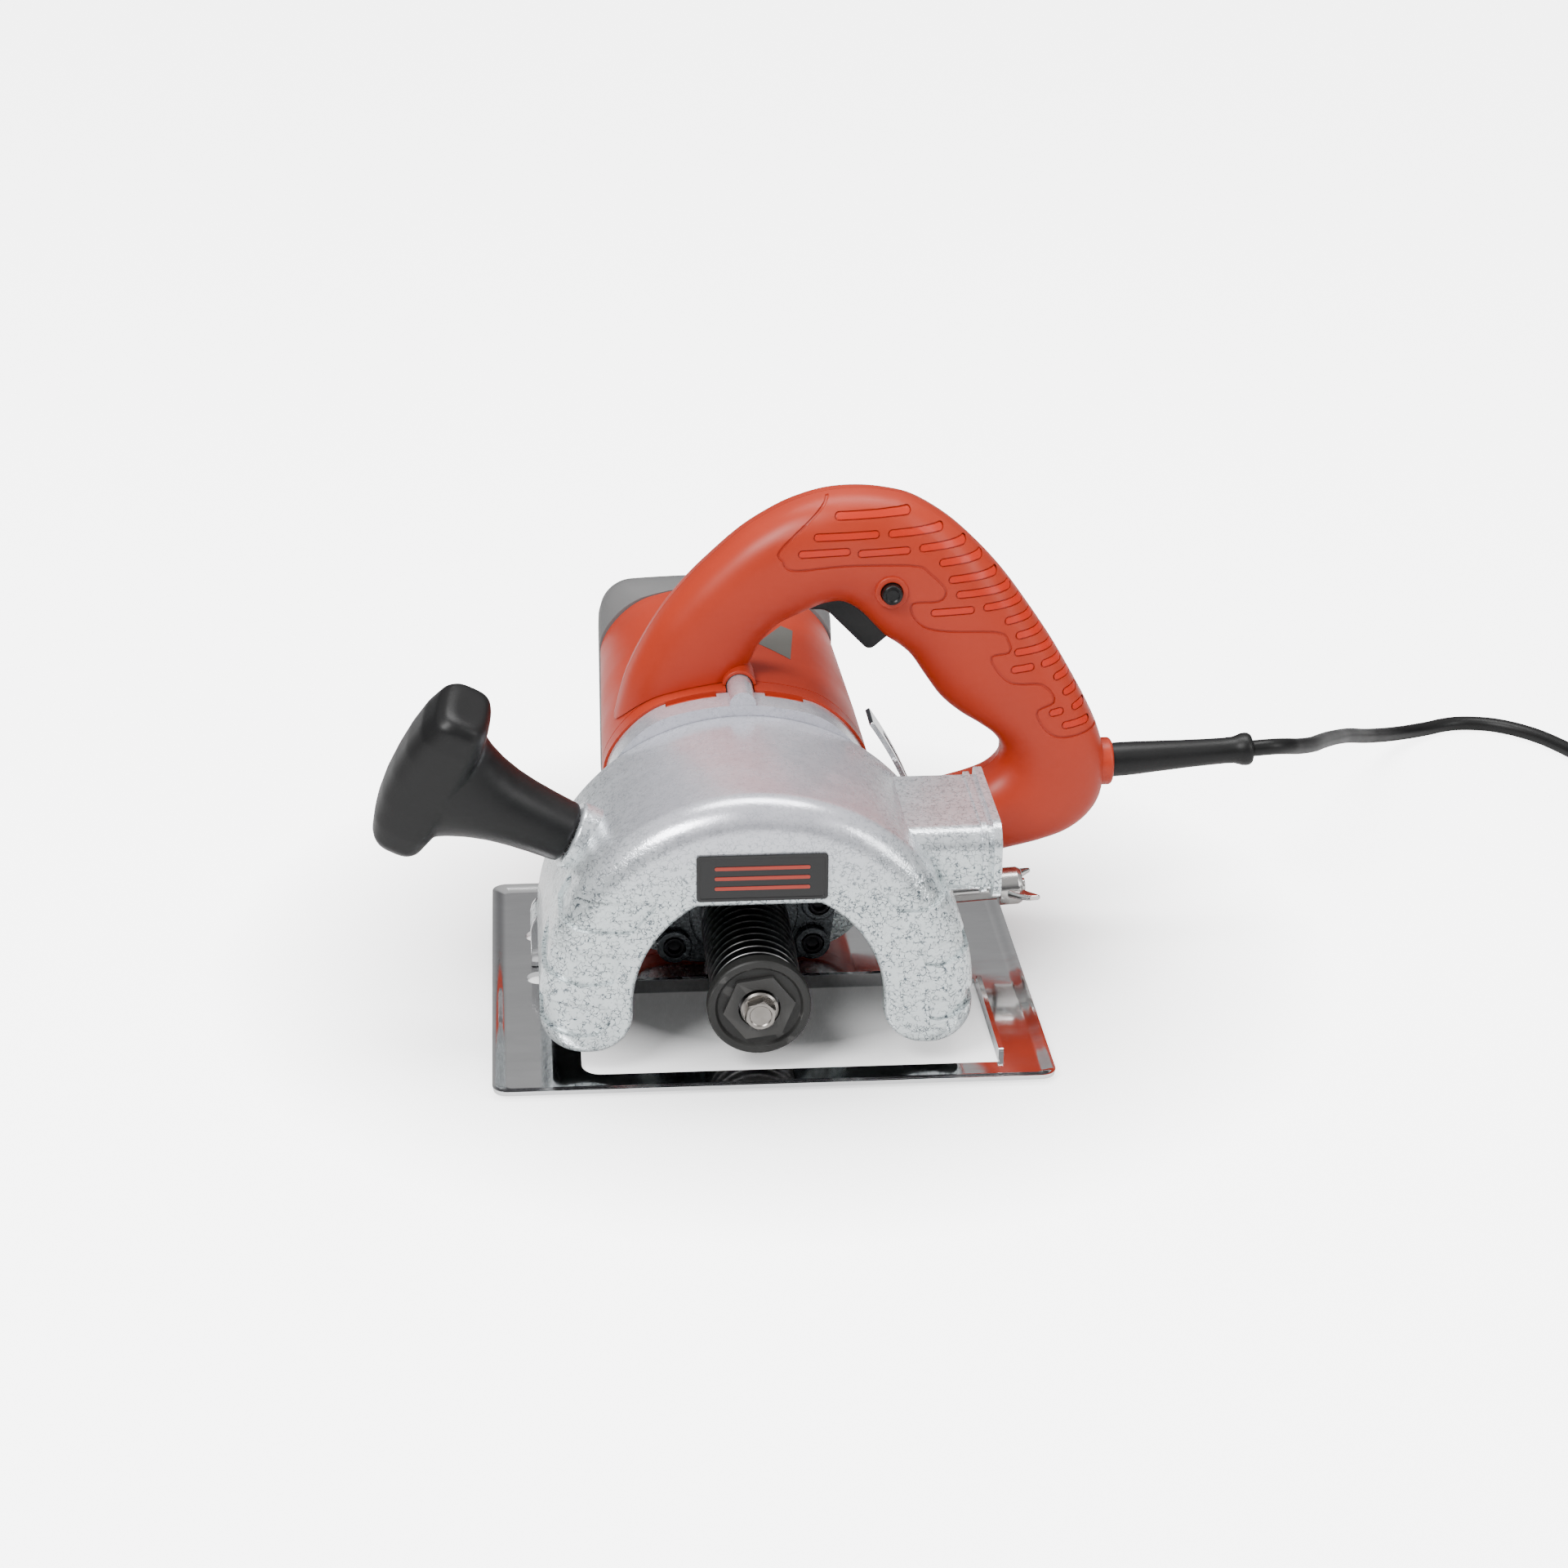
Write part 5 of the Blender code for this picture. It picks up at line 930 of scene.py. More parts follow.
def case_outline(inset=0.0, corner=None, crown=1.0, steps=16):
    """Rounded square section about the motor axis, its top crowned."""
    corner = CASE_CORNER - inset if corner is None else corner
    low, high = MOTOR_Z - CASE_HALF_HEIGHT + inset, MOTOR_Z + CASE_HALF_HEIGHT - inset
    left, right = MOTOR_X - CASE_HALF_WIDTH + inset, MOTOR_X + CASE_HALF_WIDTH - inset
    points = arc((right - corner, low + corner), corner, 270, 360, steps)
    points += arc((right - corner, high - corner), corner, 0, 90, steps)
    points += [(right - corner + (left - right + 2 * corner) * k / 12, high) for k in range(1, 12)]
    points += arc((left + corner, high - corner), corner, 90, 180, steps)
    points += arc((left + corner, low + corner), corner, 180, 270, steps)
    return [(x, z - crown * (x - MOTOR_X) ** 2 / CROWN * max(0.0, (z - MOTOR_Z) / CASE_HALF_HEIGHT))
            for x, z in points]


def cover_circles(grow=0.0):
    return ([(0, SPINDLE_Z, 25.0 * mm + grow), (MOTOR_X, MOTOR_Z - 3 * mm, 20 * mm + grow)]
            + [(x, z, 7.5 * mm + grow) for x, z in COVER_SCREWS])


NOTCHES = [(-31 * mm, -10 * mm), (10 * mm, 26 * mm)]
NOTCH_FRONT = 11.6 * mm


class CHASER_OT_gear_case(bpy.types.Operator):
    """Cast gear case with its lugs and ridge, its cover and the cover's screws"""
    bl_idname = "chaser.gear_case"
    bl_label = "Gear case"

    def execute(self, context):
        edge = context.scene.chaser_sizes.cast_edge
        paint = finish("hammered_grey")
        case = slab("cast_case", case_outline(1 * mm, CASE_CORNER), 0.3 * mm, COLLAR_BACK)
        carve(case, slab("hollow", case_outline(6 * mm, CASE_CORNER - 5 * mm), 5 * mm, 40 * mm))
        for left, right in NOTCHES:
            carve(case, block("notch", (left, NOTCH_FRONT, CASE_TOP - 7 * mm), (right, 20 * mm, CASE_TOP + 9 * mm)))
        lug_root = block("lug_root", (-62 * mm, 3 * mm, 24 * mm), (-46 * mm, 20.5 * mm, 50 * mm))
        lug = slab("lug", belt([(PIVOT.x, PIVOT.z, 9 * mm), (-46 * mm, 34 * mm, 9 * mm)]), 6 * mm, 20.5 * mm)
        clamp_lug = block("clamp_lug", (44 * mm, 2.5 * mm, 19 * mm), (78.9 * mm, 19.5 * mm, 36 * mm))
        unite(case, lug_root, lug, clamp_lug)
        carve(case, slab("sleeve_room", case_outline(-0.3 * mm, CASE_CORNER), COLLAR_BACK, 60 * mm))
        ridge = lathe("ridge", [(0, 38 * mm), (RIDGE_RADIUS * 0.6, 37.4 * mm), (RIDGE_RADIUS, 34 * mm),
                                (RIDGE_RADIUS, 0.6 * mm), (0, 0.6 * mm)], (0, 0, CASE_TOP - 0.9 * mm))
        chamber_wall = slab("chamber_wall", belt([(0, SPINDLE_Z, 25.7 * mm), (MOTOR_X, MOTOR_Z, 19 * mm)]),
                            0.4 * mm, 14.9 * mm)
        unite(case, chamber_wall, ridge)
        chamber = slab("chamber", belt([(0, SPINDLE_Z, 23.2 * mm), (MOTOR_X, MOTOR_Z, 15.8 * mm)]), -3 * mm, 13 * mm)
        reach = Vector((math.cos(CLAMP_ANGLE), 0, math.sin(CLAMP_ANGLE)))
        carve(case, chamber, rod("spindle_seat", 13.3 * mm, 10 * mm, 18 * mm, (0, 0, SPINDLE_Z)),
              rod("armature_way", 9 * mm, 8 * mm, 30 * mm, (MOTOR_X, 0, MOTOR_Z)),
              rod("pivot_bore", 4.1 * mm, 0, 30 * mm, (PIVOT.x, 0, PIVOT.z)),
              rod("clamp_bore", 3.4 * mm, 144 * mm, 170 * mm, PIVOT + REAR * 11 * mm, reach))
        for x, z in COVER_SCREWS:
            carve(case, rod("thread", 2.6 * mm, -2 * mm, 11.5 * mm, (x, 0, z), steps=24))
        dress(settle(case, edge, 2), "machine", paint, "hammered_casting", "gear_case")

        cover = slab("case_cover", belt(cover_circles()), -5 * mm, -0.3 * mm)
        unite(cover, turned("boss", [(0, -9, 0), (22.8, -9, 1.5), (22.8, -2, 0), (0, -2, 0)], (0, 0, SPINDLE_Z)))
        carve(cover, rod("seat", 20.3 * mm, -7.5 * mm, 4 * mm, (0, 0, SPINDLE_Z)),
              rod("nose", 17.6 * mm, -12 * mm, 4 * mm, (0, 0, SPINDLE_Z)))
        for x, z in COVER_SCREWS:
            unite(cover, turned("pad", [(0, -8.5, 0), (7.4, -8.5, 0.8), (7.4, -2, 0), (0, -2, 0)], (x, 0, z), steps=32))
            carve(cover, lathe("pocket", [(0, 3 * mm), (2.7 * mm, 3 * mm), (2.7 * mm, -4.2 * mm),
                                          (4.9 * mm, -4.2 * mm), (4.9 * mm, -12 * mm), (0, -12 * mm)], (x, 0, z),
                               steps=32))
        # the gear cover takes the darkened paint, painted shade for its place in the hood's shadow
        dress(settle(cover, 0.35 * mm, 2), "machine", finish("cast_painted_shade"), "hammered_casting", "gear_cover")

        screw = turned("cap_screw", [(0, 10, 0), (2.4, 10, 0.3), (2.4, -4.5, 0), (4.25, -4.5, 0.2), (4.25, -8.9, 0.4),
                                     (2.9, -8.9, 0.1), (2.5, -6.2, 0), (0, -5.7, 0)], (0, 0, 0), REAR, 24)
        shade(screw, 40)
        screws = copies("cap_screws", screw, [(x, 0, z) for x, z in COVER_SCREWS], finish("screw_black"))
        dress(screws, "machine", finish("screw_black"), "black_steel",
              "cover_screw_1", "cover_screw_2", "cover_screw_3", "cover_screw_4")
        return {"FINISHED"}


class CHASER_OT_spindle(bpy.types.Operator):
    """Spacer rings, clamping flange and hexagon bolt on the spindle"""
    bl_idname = "chaser.spindle"
    bl_label = "Spindle stack"

    def execute(self, context):
        centre = (0, 0, SPINDLE_Z)
        pitch = context.scene.chaser_looks.ring_pitch
        count = round(67.68 * mm / pitch)
        ring = rounded([(18.35 * mm, 0.15 * mm, 0.5 * mm), (18.35 * mm, pitch - 0.15 * mm, 0.5 * mm),
                        (8.2 * mm, pitch - 0.15 * mm, 0.2 * mm), (8.2 * mm, 0.15 * mm, 0.2 * mm)], 3)
        one = lathe("one_ring", ring, (0, 0, 0), REAR, 72)
        shade(one, 50)
        places = [(0, -18 * mm - (k + 1) * pitch, SPINDLE_Z) for k in range(count)]
        rings = copies("spacer_rings", one, places, finish("spacer_rings"))
        dress(rings, "spindle_set", finish("spacer_rings"), "black_steel",
              *[f"blade_spacer_{k + 1}" for k in range(8)])
        disc = turned("clamp_flange", [(20.5, -86.2, 0.4), (20.5, -91.4, 0.8), (19.8, -92.1, 0.3), (17.4, -92.1, 0.5),
                                       (16.4, -90.6, 0.6), (8.3, -90.6, 0), (8.3, -86.2, 0)], centre, REAR, 96)
        facet = slab("facet", [(x, SPINDLE_Z + z) for x, z in arc((0, 0), 14.4 * mm, 8, 308, 5)],
                     -92.7 * mm, -89 * mm)
        unite(disc, facet)
        carve(disc, rod("hole", 8.3 * mm, -95 * mm, -80 * mm, centre))
        dress(settle(disc, 0.3 * mm, 2), "spindle_set", finish("blacked_flange"), "black_steel", "outer_flange")
        bolt = turned("hexagon_bolt", [(0, -61, 0), (3.95, -61, 0.4), (3.95, -92.9, 0), (7.5, -92.9, 0.2),
                                       (7.5, -93.7, 0.3), (6.7, -94.3, 0), (0, -94.3, 0)], centre, REAR, 48)
        head = slab("head", [(x, SPINDLE_Z + z) for x, z in arc((0, 0), 6.4 * mm, 20, 320, 5)], -99.4 * mm, -94 * mm)
        carve(head, turned("dome", [(0, -98.9, 0), (4.1, -98.9, 0), (4.5, -99.4, 0.2), (5.6, -99.4, 0.2),
                                    (6.6, -98.6, 0), (6.6, -93, 0), (0, -93, 0)], centre), operation="INTERSECT")
        unite(bolt, head)
        dress(settle(bolt, 0.22 * mm, 2), "spindle_set", finish("bolt_steel"), "chromed_steel", "flange_bolt")
        inner = turned("rear_flange", [(17.2, -12.6, 0.4), (17.2, -17.7, 0.4), (8.2, -17.7, 0), (8.2, -12.6, 0)],
                       centre)
        dress(settle(inner, 0), "spindle_set", finish("black_oxide"), "black_steel", "inner_flange")
        return {"FINISHED"}


# ---------------------------------------------------------------- motor

class CHASER_OT_motor(bpy.types.Operator):
    """Moulded motor housing with its label and sticker, and the end cap"""
    bl_idname = "chaser.motor"
    bl_label = "Motor housing"

    def execute(self, context):
        edge = context.scene.chaser_sizes.moulded_edge
        rows = [(15.3, 0.0), (22.0, 0.0), (60.0, 0.6), (120.0, 2.2), (148.7, 3.0)]
        housing = skin("moulded_housing", [[(x, y * mm, z) for x, z in case_outline(inset * mm)] for y, inset in rows])
        tabs = []
        for left, right in NOTCHES:
            tab = slab("tab", case_outline(2.0 * mm), NOTCH_FRONT + 0.3 * mm, 16 * mm)
            carve(tab, slab("tab_inside", case_outline(4.6 * mm), 5 * mm, 30 * mm))
            carve(tab, block("tab_part", (left + 0.3 * mm, 0, CASE_TOP - 8 * mm),
                             (right - 0.3 * mm, 20 * mm, CASE_TOP + 9 * mm)), operation="INTERSECT")
            tabs.append(tab)
        unite(housing, *tabs)
        hollow = skin("hollow", [[(x, y * mm, z) for x, z in case_outline(inset * mm)]
                                 for y, inset in ((10.0, 3.0), (60.0, 3.6), (131.0, 5.6))])
        groove = slab("groove", case_outline(-2 * mm), 24.6 * mm, 25.3 * mm)
        carve(groove, slab("groove_floor", case_outline(0.7 * mm), 20 * mm, 30 * mm))
        carve(housing, hollow, groove, rod("carrier", 11.3 * mm, 139 * mm, 160 * mm, (MOTOR_X, 0, MOTOR_Z)),
              rod("passage", 9 * mm, 120 * mm, 160 * mm, (MOTOR_X, 0, MOTOR_Z)),
              rod("ridge_room", RIDGE_RADIUS + 0.5 * mm, 0, 38.6 * mm, (0, 0, CASE_TOP - 0.9 * mm)))
        for angle in (35, 90, 145, 215, 270, 325):
            carve(housing, rod("air_hole", 8 * mm, 125 * mm, 155 * mm,
                               (MOTOR_X + 34 * mm * math.cos(math.radians(angle)), 0,
                                MOTOR_Z + 34 * mm * math.sin(math.radians(angle))), steps=32))
        dress(settle(housing, edge, 2), "machine", finish("orange_moulding"), "orange_plastic", "motor_housing")

        rows = [(149.0, 2.6, 21, 0.92), (152.0, 2.4, 19.5, 0.75), (156.0, 2.3, 17.5, 0.5), (161.0, 2.6, 15.5, 0.28),
                (166.0, 3.6, 14.5, 0.15), (170.0, 5.4, 14, 0.1), (173.2, 8.2, 13.5, 0.1), (175.2, 11.6, 13, 0.1),
                (176.0, 16.0, 12, 0.1)]
        cap = skin("moulded_cap", [[(x, y * mm, z) for x, z in case_outline(i * mm, corner * mm, crown)]
                                   for y, i, corner, crown in rows])
        hollow = skin("cap_hollow", [[(x, y * mm, z) for x, z in case_outline(i * mm, CASE_CORNER - 0.8 * i * mm)]
                                     for y, i in ((145.0, 6.0), (160.0, 6.6), (168.0, 9.0), (172.5, 18.0))])
        carve(cap, hollow)
        for k in range(-2, 3):
            z = MOTOR_Z + k * 12 * mm
            slot = rectangle(MOTOR_X - 26 * mm, MOTOR_X + 26 * mm, z - 2.2 * mm, z + 2.2 * mm, 2.15 * mm)
            carve(cap, slab("air_slot", slot, 160 * mm, 185 * mm))
        dress(settle(cap, 0.5 * mm, 2), "machine", finish("grey_moulding"), "grey_plastic", "end_cap")

        def sheet_on_top(name, corners, rise):
            """A thin plate that follows the housing's slope."""
            (ax, ay), (bx, by), (cx, cy), (dx, dy) = corners
            loops = []
            for j in range(7):
                v = j / 6
                line = [((ax + (dx - ax) * v) * (1 - u) + (bx + (cx - bx) * v) * u,
                         (ay + (dy - ay) * v) * (1 - u) + (by + (cy - by) * v) * u) for u in (k / 8 for k in range(9))]
                loops.append([(x * mm, y * mm, CASE_TOP - self.slope(y) * mm + lift
                               - (x * mm - MOTOR_X) ** 2 / CROWN * (1 - self.slope(y) * mm / CASE_HALF_HEIGHT))
                              for side, lift in ((line, rise), (line[::-1], -0.2 * mm)) for x, y in side])
            return skin(name, loops)

        label = sheet_on_top("rating_plate", [(11.5, 72), (24.5, 58), (29.0, 98), (24.0, 101)], 0.12 * mm)
        dress(label, "machine", finish("label_grey"), "grey_plastic")
        sticker = sheet_on_top("small_sticker", [(-22.5, 138), (-9.5, 134.5), (-6.5, 146.5), (-19.5, 147)], 0.14 * mm)
        dress(sticker, "machine", finish("sticker_orange"), "orange_plastic")
        patch = sheet_on_top("sticker_field", [(-14.5, 141), (-9.4, 139.5), (-8.2, 145.5), (-13, 146)], 0.2 * mm)
        dress(patch, "machine", finish("sticker_white"), "grey_plastic")
        return {"FINISHED"}

    @staticmethod
    def slope(y):
        """How far the housing's top lies below its front at a depth, in millimetres."""
        marks = [(22.0, 0.0), (60.0, 0.6), (120.0, 2.2), (148.7, 3.0)]
        for (y0, i0), (y1, i1) in zip(marks, marks[1:]):
            if y <= y1:
                return i0 + (i1 - i0) * max(y - y0, 0) / (y1 - y0)
        return marks[-1][1]


# ---------------------------------------------------------------- D-handle

OUTER_SIDE = [(-52, 99), (-46, 121), (-34.6, 143), (-22.5, 159), (-10.7, 171), (2.5, 182.5), (16.2, 191),
              (27, 195.6), (38, 198.4), (49.8, 199.1), (61.5, 198), (73.4, 194.7), (88, 185.5), (101.3, 173.2),
              (112.5, 160.5), (122.9, 146.2), (132.8, 131.3), (141.5, 116.4), (149, 102.5), (154.6, 89.8),
              (157.6, 76), (156.5, 62), (151.5, 52.5), (143, 45.5), (131, 41), (116.5, 37.5), (98, 33), (78, 28),
              (48, 21)]
INNER_SIDE = [(6, 100), (4.7, 121), (7, 128.5), (10, 134.5), (14, 139.3), (18.5, 143), (24.5, 145.8),
              (30.5, 148.6), (37, 151), (44, 151.2), (51, 147), (57, 140.5), (62, 135.2), (67.5, 131.6), (73, 126.5),
              (79, 117.5), (85.5, 108.3), (93, 101.5), (101, 96.5), (108, 91.3), (112.3, 85.3), (112.6, 79.5),
              (109.9, 75.3), (105.5, 72), (100, 69.6), (93, 67.4), (84, 65.2), (72, 63), (48, 59)]
PANEL_LINE = [(37.6, 203), (35.5, 196.1), (17.1, 178.6), (17.9, 173.8), (22.4, 169.8), (44.8, 171.3), (71.8, 170.7),
              (78.7, 166.9), (84.9, 160.4), (84.3, 156.4), (81.3, 154.9), (70.8, 153.5), (78.6, 142.9),
              (106.8, 140.6), (112.3, 135.6), (112.4, 131.5), (104.9, 129.3), (112.9, 118.5), (126.8, 116.5),
              (132.5, 108.9), (125, 104.2), (134, 93.2), (155, 95.2)]
GRIP_BARS = [(39.3, 70.5, 192.2), (30.5, 57.3, 183.9), (61.0, 84.2, 184.8), (24.1, 45.5, 177.0), (48.5, 70.2, 176.9),
             (73.9, 94.1, 178.3), (82.3, 101.1, 171.8), (86.3, 107.4, 164.5), (89.5, 113.7, 158.0),
             (79.2, 97.3, 150.4), (101.1, 119.3, 151.9), (110.4, 124.1, 145.3), (115.2, 128.9, 138.7),
             (114.7, 133.1, 131.7), (113.5, 123.4, 124.2), (126.5, 136.4, 125.5), (132.1, 140.5, 119.2),
             (136.3, 143.1, 112.2), (130.4, 136.6, 104.1), (140.4, 146.5, 105.5), (136.1, 148.4, 98.4)]


def handle_sides(count=140):
    """The handle's outer and inner sides, at matching points along it."""
    both = [Vector((ox, oz, ix, iz)) for (ox, oz), (ix, iz) in zip(OUTER_SIDE, INNER_SIDE)]
    fine = []
    ends = [2 * both[0] - both[1]] + both + [2 * both[-1] - both[-2]]
    steps = count // (len(both) - 1)
    for i in range(1, len(ends) - 2):
        a, b, c, d = ends[i - 1:i + 3]
        for k in range(steps):
            t = k / steps
            fine.append(0.5 * (2 * b + (c - a) * t + (2 * a - 5 * b + 4 * c - d) * t ** 2
                               + (3 * b - a - 3 * c + d) * t ** 3))
    fine.append(both[-1])
    return [(Vector((p[0], 0, p[1])) * mm, Vector((p[2], 0, p[3])) * mm) for p in fine]


def handle_ring(outer, inner, depth, side, steps=18):
    """Half a section of the handle, from its outer to its inner side, moved in by depth."""
    middle, reach = (outer + inner) / 2, (outer - inner) / 2
    points = []
    for k in range(steps + 1):
        angle = math.pi * k / steps
        across = squared(angle, HANDLE_FULLNESS)[0]
        bulge = abs(math.sin(angle)) ** (2 / HANDLE_FULLNESS) if 0 < k < steps else 0.0
        point = middle + reach * (across * (1 - depth / reach.length))
        point.y = HANDLE_Y + side * (0.15 * mm + (HANDLE_HALF - 0.15 * mm - depth) * bulge)
        points.append(point)
    return points


def handle_half(name, side):
    """One shell of the handle, a wall open at the parting plane."""
    return skin(name, [handle_ring(outer, inner, 0.0, side)
                       + handle_ring(outer, inner, HANDLE_WALL, side)[::-1] for outer, inner in handle_sides()])


def handle_core(name, depth):
    """The handle's solid form with its surface moved in by depth."""
    loops = []
    for outer, inner in handle_sides():
        front = handle_ring(outer, inner, depth, -1)
        back = handle_ring(outer, inner, depth, 1)
        loops.append(front + back[::-1][1:-1])
    return skin(name, loops)


def ribbon(points, half):
    """The outline of a line of even width."""
    left, right = [], []
    for i, here in enumerate(points):
        ahead = (points[min(i + 1, len(points) - 1)] - points[max(i - 1, 0)]).normalized()
        side = Vector((-ahead.y, ahead.x)) * half
        left.append(tuple(here + side))
        right.append(tuple(here - side))
    return left + right[::-1]


def bar_outline(left, right, z, half):
    """A round-ended bar that rises slightly to the right."""
    rise = 0.5 * mm
    start, end = Vector((left * mm, z * mm - rise)), Vector((right * mm, z * mm + rise))
    lean = math.degrees(math.atan2(end.y - start.y, end.x - start.x))
    inset = (end - start).normalized() * 1.6 * mm
    return (arc(end - inset, half, lean - 90, lean + 90, 8) + arc(start + inset, half, lean + 90, lean + 270, 8))


def many_slabs(name, outlines, low, high):
    """Separate slabs in one mesh."""
    bm = bmesh.new()
    for outline in outlines:
        rows = [[bm.verts.new((x, y, z)) for x, z in outline] for y in (low, high)]
        for i in range(len(outline)):
            j = (i + 1) % len(outline)
            bm.faces.new((rows[0][i], rows[0][j], rows[1][j], rows[1][i]))
        for row in rows:
            bm.faces.new(row)
    return new_piece(name, bm)


class CHASER_OT_handle(bpy.types.Operator):
    """Both shells of the D-handle, with the grip panel, its bars, the trigger and the button"""
    bl_idname = "chaser.handle"
    bl_label = "D-handle"

    def execute(self, context):
        sizes = context.scene.chaser_sizes
        orange = finish("orange_moulding")
        shells = {}
        for side, name in ((-1, "front"), (1, "rear")):
            shell = handle_half(f"handle_{name}_half", side)
            boss = turned("cord_boss", [(0, 161, 0), (10.2, 161, 1.6), (10.2, 148, 0), (0, 148, 0)],
                          (0, HANDLE_Y, 74 * mm), RIGHT)
            carve(boss, block("far", (100 * mm, min(HANDLE_Y + side * 0.15 * mm, HANDLE_Y - side * 80 * mm), 40 * mm),
                              (200 * mm, max(HANDLE_Y + side * 0.15 * mm, HANDLE_Y - side * 80 * mm), 110 * mm)))
            unite(shell, boss)
            if side < 0:
                lip = turned("ridge_lip", [(0, 20.4, 0), (7.1, 20.4, 0.5), (7.1, 36.3, 0), (0, 36.3, 0)],
                             (0, 0, CASE_TOP - 0.9 * mm))
                unite(shell, lip)
            trigger_room = slab("trigger_room", [(x * mm, z * mm) for x, z in (
                (25.4, 139), (66, 127), (66, 146), (52, 165), (25.4, 162))], HANDLE_Y - 6.5 * mm, HANDLE_Y + 6.5 * mm)
            carve(shell, rod("guard_seat", 7.7 * mm, 130 * mm, 170 * mm, (0, HANDLE_Y, 74 * mm), RIGHT),
                  slab("housing_room", case_outline(-0.3 * mm, CASE_CORNER), 1 * mm, 90 * mm),
                  rod("ridge_room", RIDGE_RADIUS + 0.4 * mm, 0, 38.6 * mm, (0, 0, CASE_TOP - 0.9 * mm)),
                  trigger_room)
            shells[name] = shell
        front = shells["front"]
        floor = handle_core("groove_floor", sizes.groove_depth)
        line = smooth_line([(x * mm, z * mm) for x, z in PANEL_LINE], 150)
        groove = slab("panel_groove", ribbon(line, 0.55 * mm), 5 * mm, HANDLE_Y - 4 * mm)
        carve(groove, floor, keep=True)
        carve(front, groove)
        beds = many_slabs("bar_beds", [bar_outline(*bar, 1.85 * mm) for bar in GRIP_BARS], 5 * mm, HANDLE_Y - 4 * mm)
        carve(beds, floor, keep=True)
        carve(front, beds)
        drop(floor)
        bars = many_slabs("grip_bars", [bar_outline(*bar, 1.25 * mm) for bar in GRIP_BARS], 5 * mm, HANDLE_Y - 4 * mm)
        carve(bars, handle_core("bar_top", 0.05 * mm), operation="INTERSECT")
        carve(bars, handle_core("bar_floor", 0.75 * mm))
        dress(settle(bars, 0.22 * mm, 2), "machine", finish("orange_inserts"), "orange_plastic")
        unite(front, turned("button_rim", [(6.9, -18.9, 0.7), (6.9, -15, 0), (4.6, -15, 0), (4.6, -18.9, 0.3)],
                            BUTTON_PLACE))
        carve(front, rod("button_hole", 4.6 * mm, -30 * mm, -8 * mm, BUTTON_PLACE))
        dress(settle(front, sizes.moulded_edge, 2), "machine", orange, "orange_plastic", "handle_front_shell")
        rear = shells["rear"]
        for x, z in ((-12, 140), (88, 130)):
            carve(rear, rod("screw_hole", 3.6 * mm, 8 * mm, 30 * mm, (x * mm, HANDLE_Y, z * mm)))
        dress(settle(rear, sizes.moulded_edge, 2), "machine", orange, "orange_plastic", "handle_rear_shell")

        outline = rounded([(26.5, 151, 0.8), (30.5, 148.3, 3), (37, 148.1, 6), (55.2, 129.2, 3.2), (63.4, 136.2, 1.6),
                           (55, 152.5, 6), (48, 158, 3), (29, 157.5, 1)], 6)
        trigger = slab("switch_trigger", [(x * mm, z * mm) for x, z in outline], HANDLE_Y - 6 * mm, HANDLE_Y + 6 * mm)
        dress(settle(trigger, 1.3 * mm, 4), "trigger_lever", finish("black_moulding"), "black_plastic", "trigger")
        button = turned("lock_on_button", [(0, -10, 0), (5.2, -10, 0.2), (5.2, -12, 0.3), (4.3, -12, 0.2),
                                           (4.3, -22.3, 1.1), (3.0, -22.3, 0.3), (2.4, -21.7, 0.4), (0, -21.7, 0)],
                        BUTTON_PLACE)
        dress(settle(button, 0), "lock_pin", finish("black_moulding"), "black_plastic", "lock_button")
        screw = turned("shell_screw", [(0, 16.6, 0), (1.5, 15.4, 0), (3.3, 16.6, 0.3), (3.3, 14.0, 0.2), (1.9, 14.0, 0),
                                       (1.9, -8, 0.4), (0, -8, 0)], (0, 0, 0), REAR, 32)
        shade(screw, 40)
        screws = copies("shell_screws", screw, [(x * mm, HANDLE_Y, z * mm) for x, z in ((-12, 140), (88, 130))],
                        finish("screw_black"))
        dress(screws, "machine", finish("screw_black"), "black_steel", "handle_screw_1", "handle_screw_2")
        return {"FINISHED"}


# ---------------------------------------------------------------- sole and depth setting

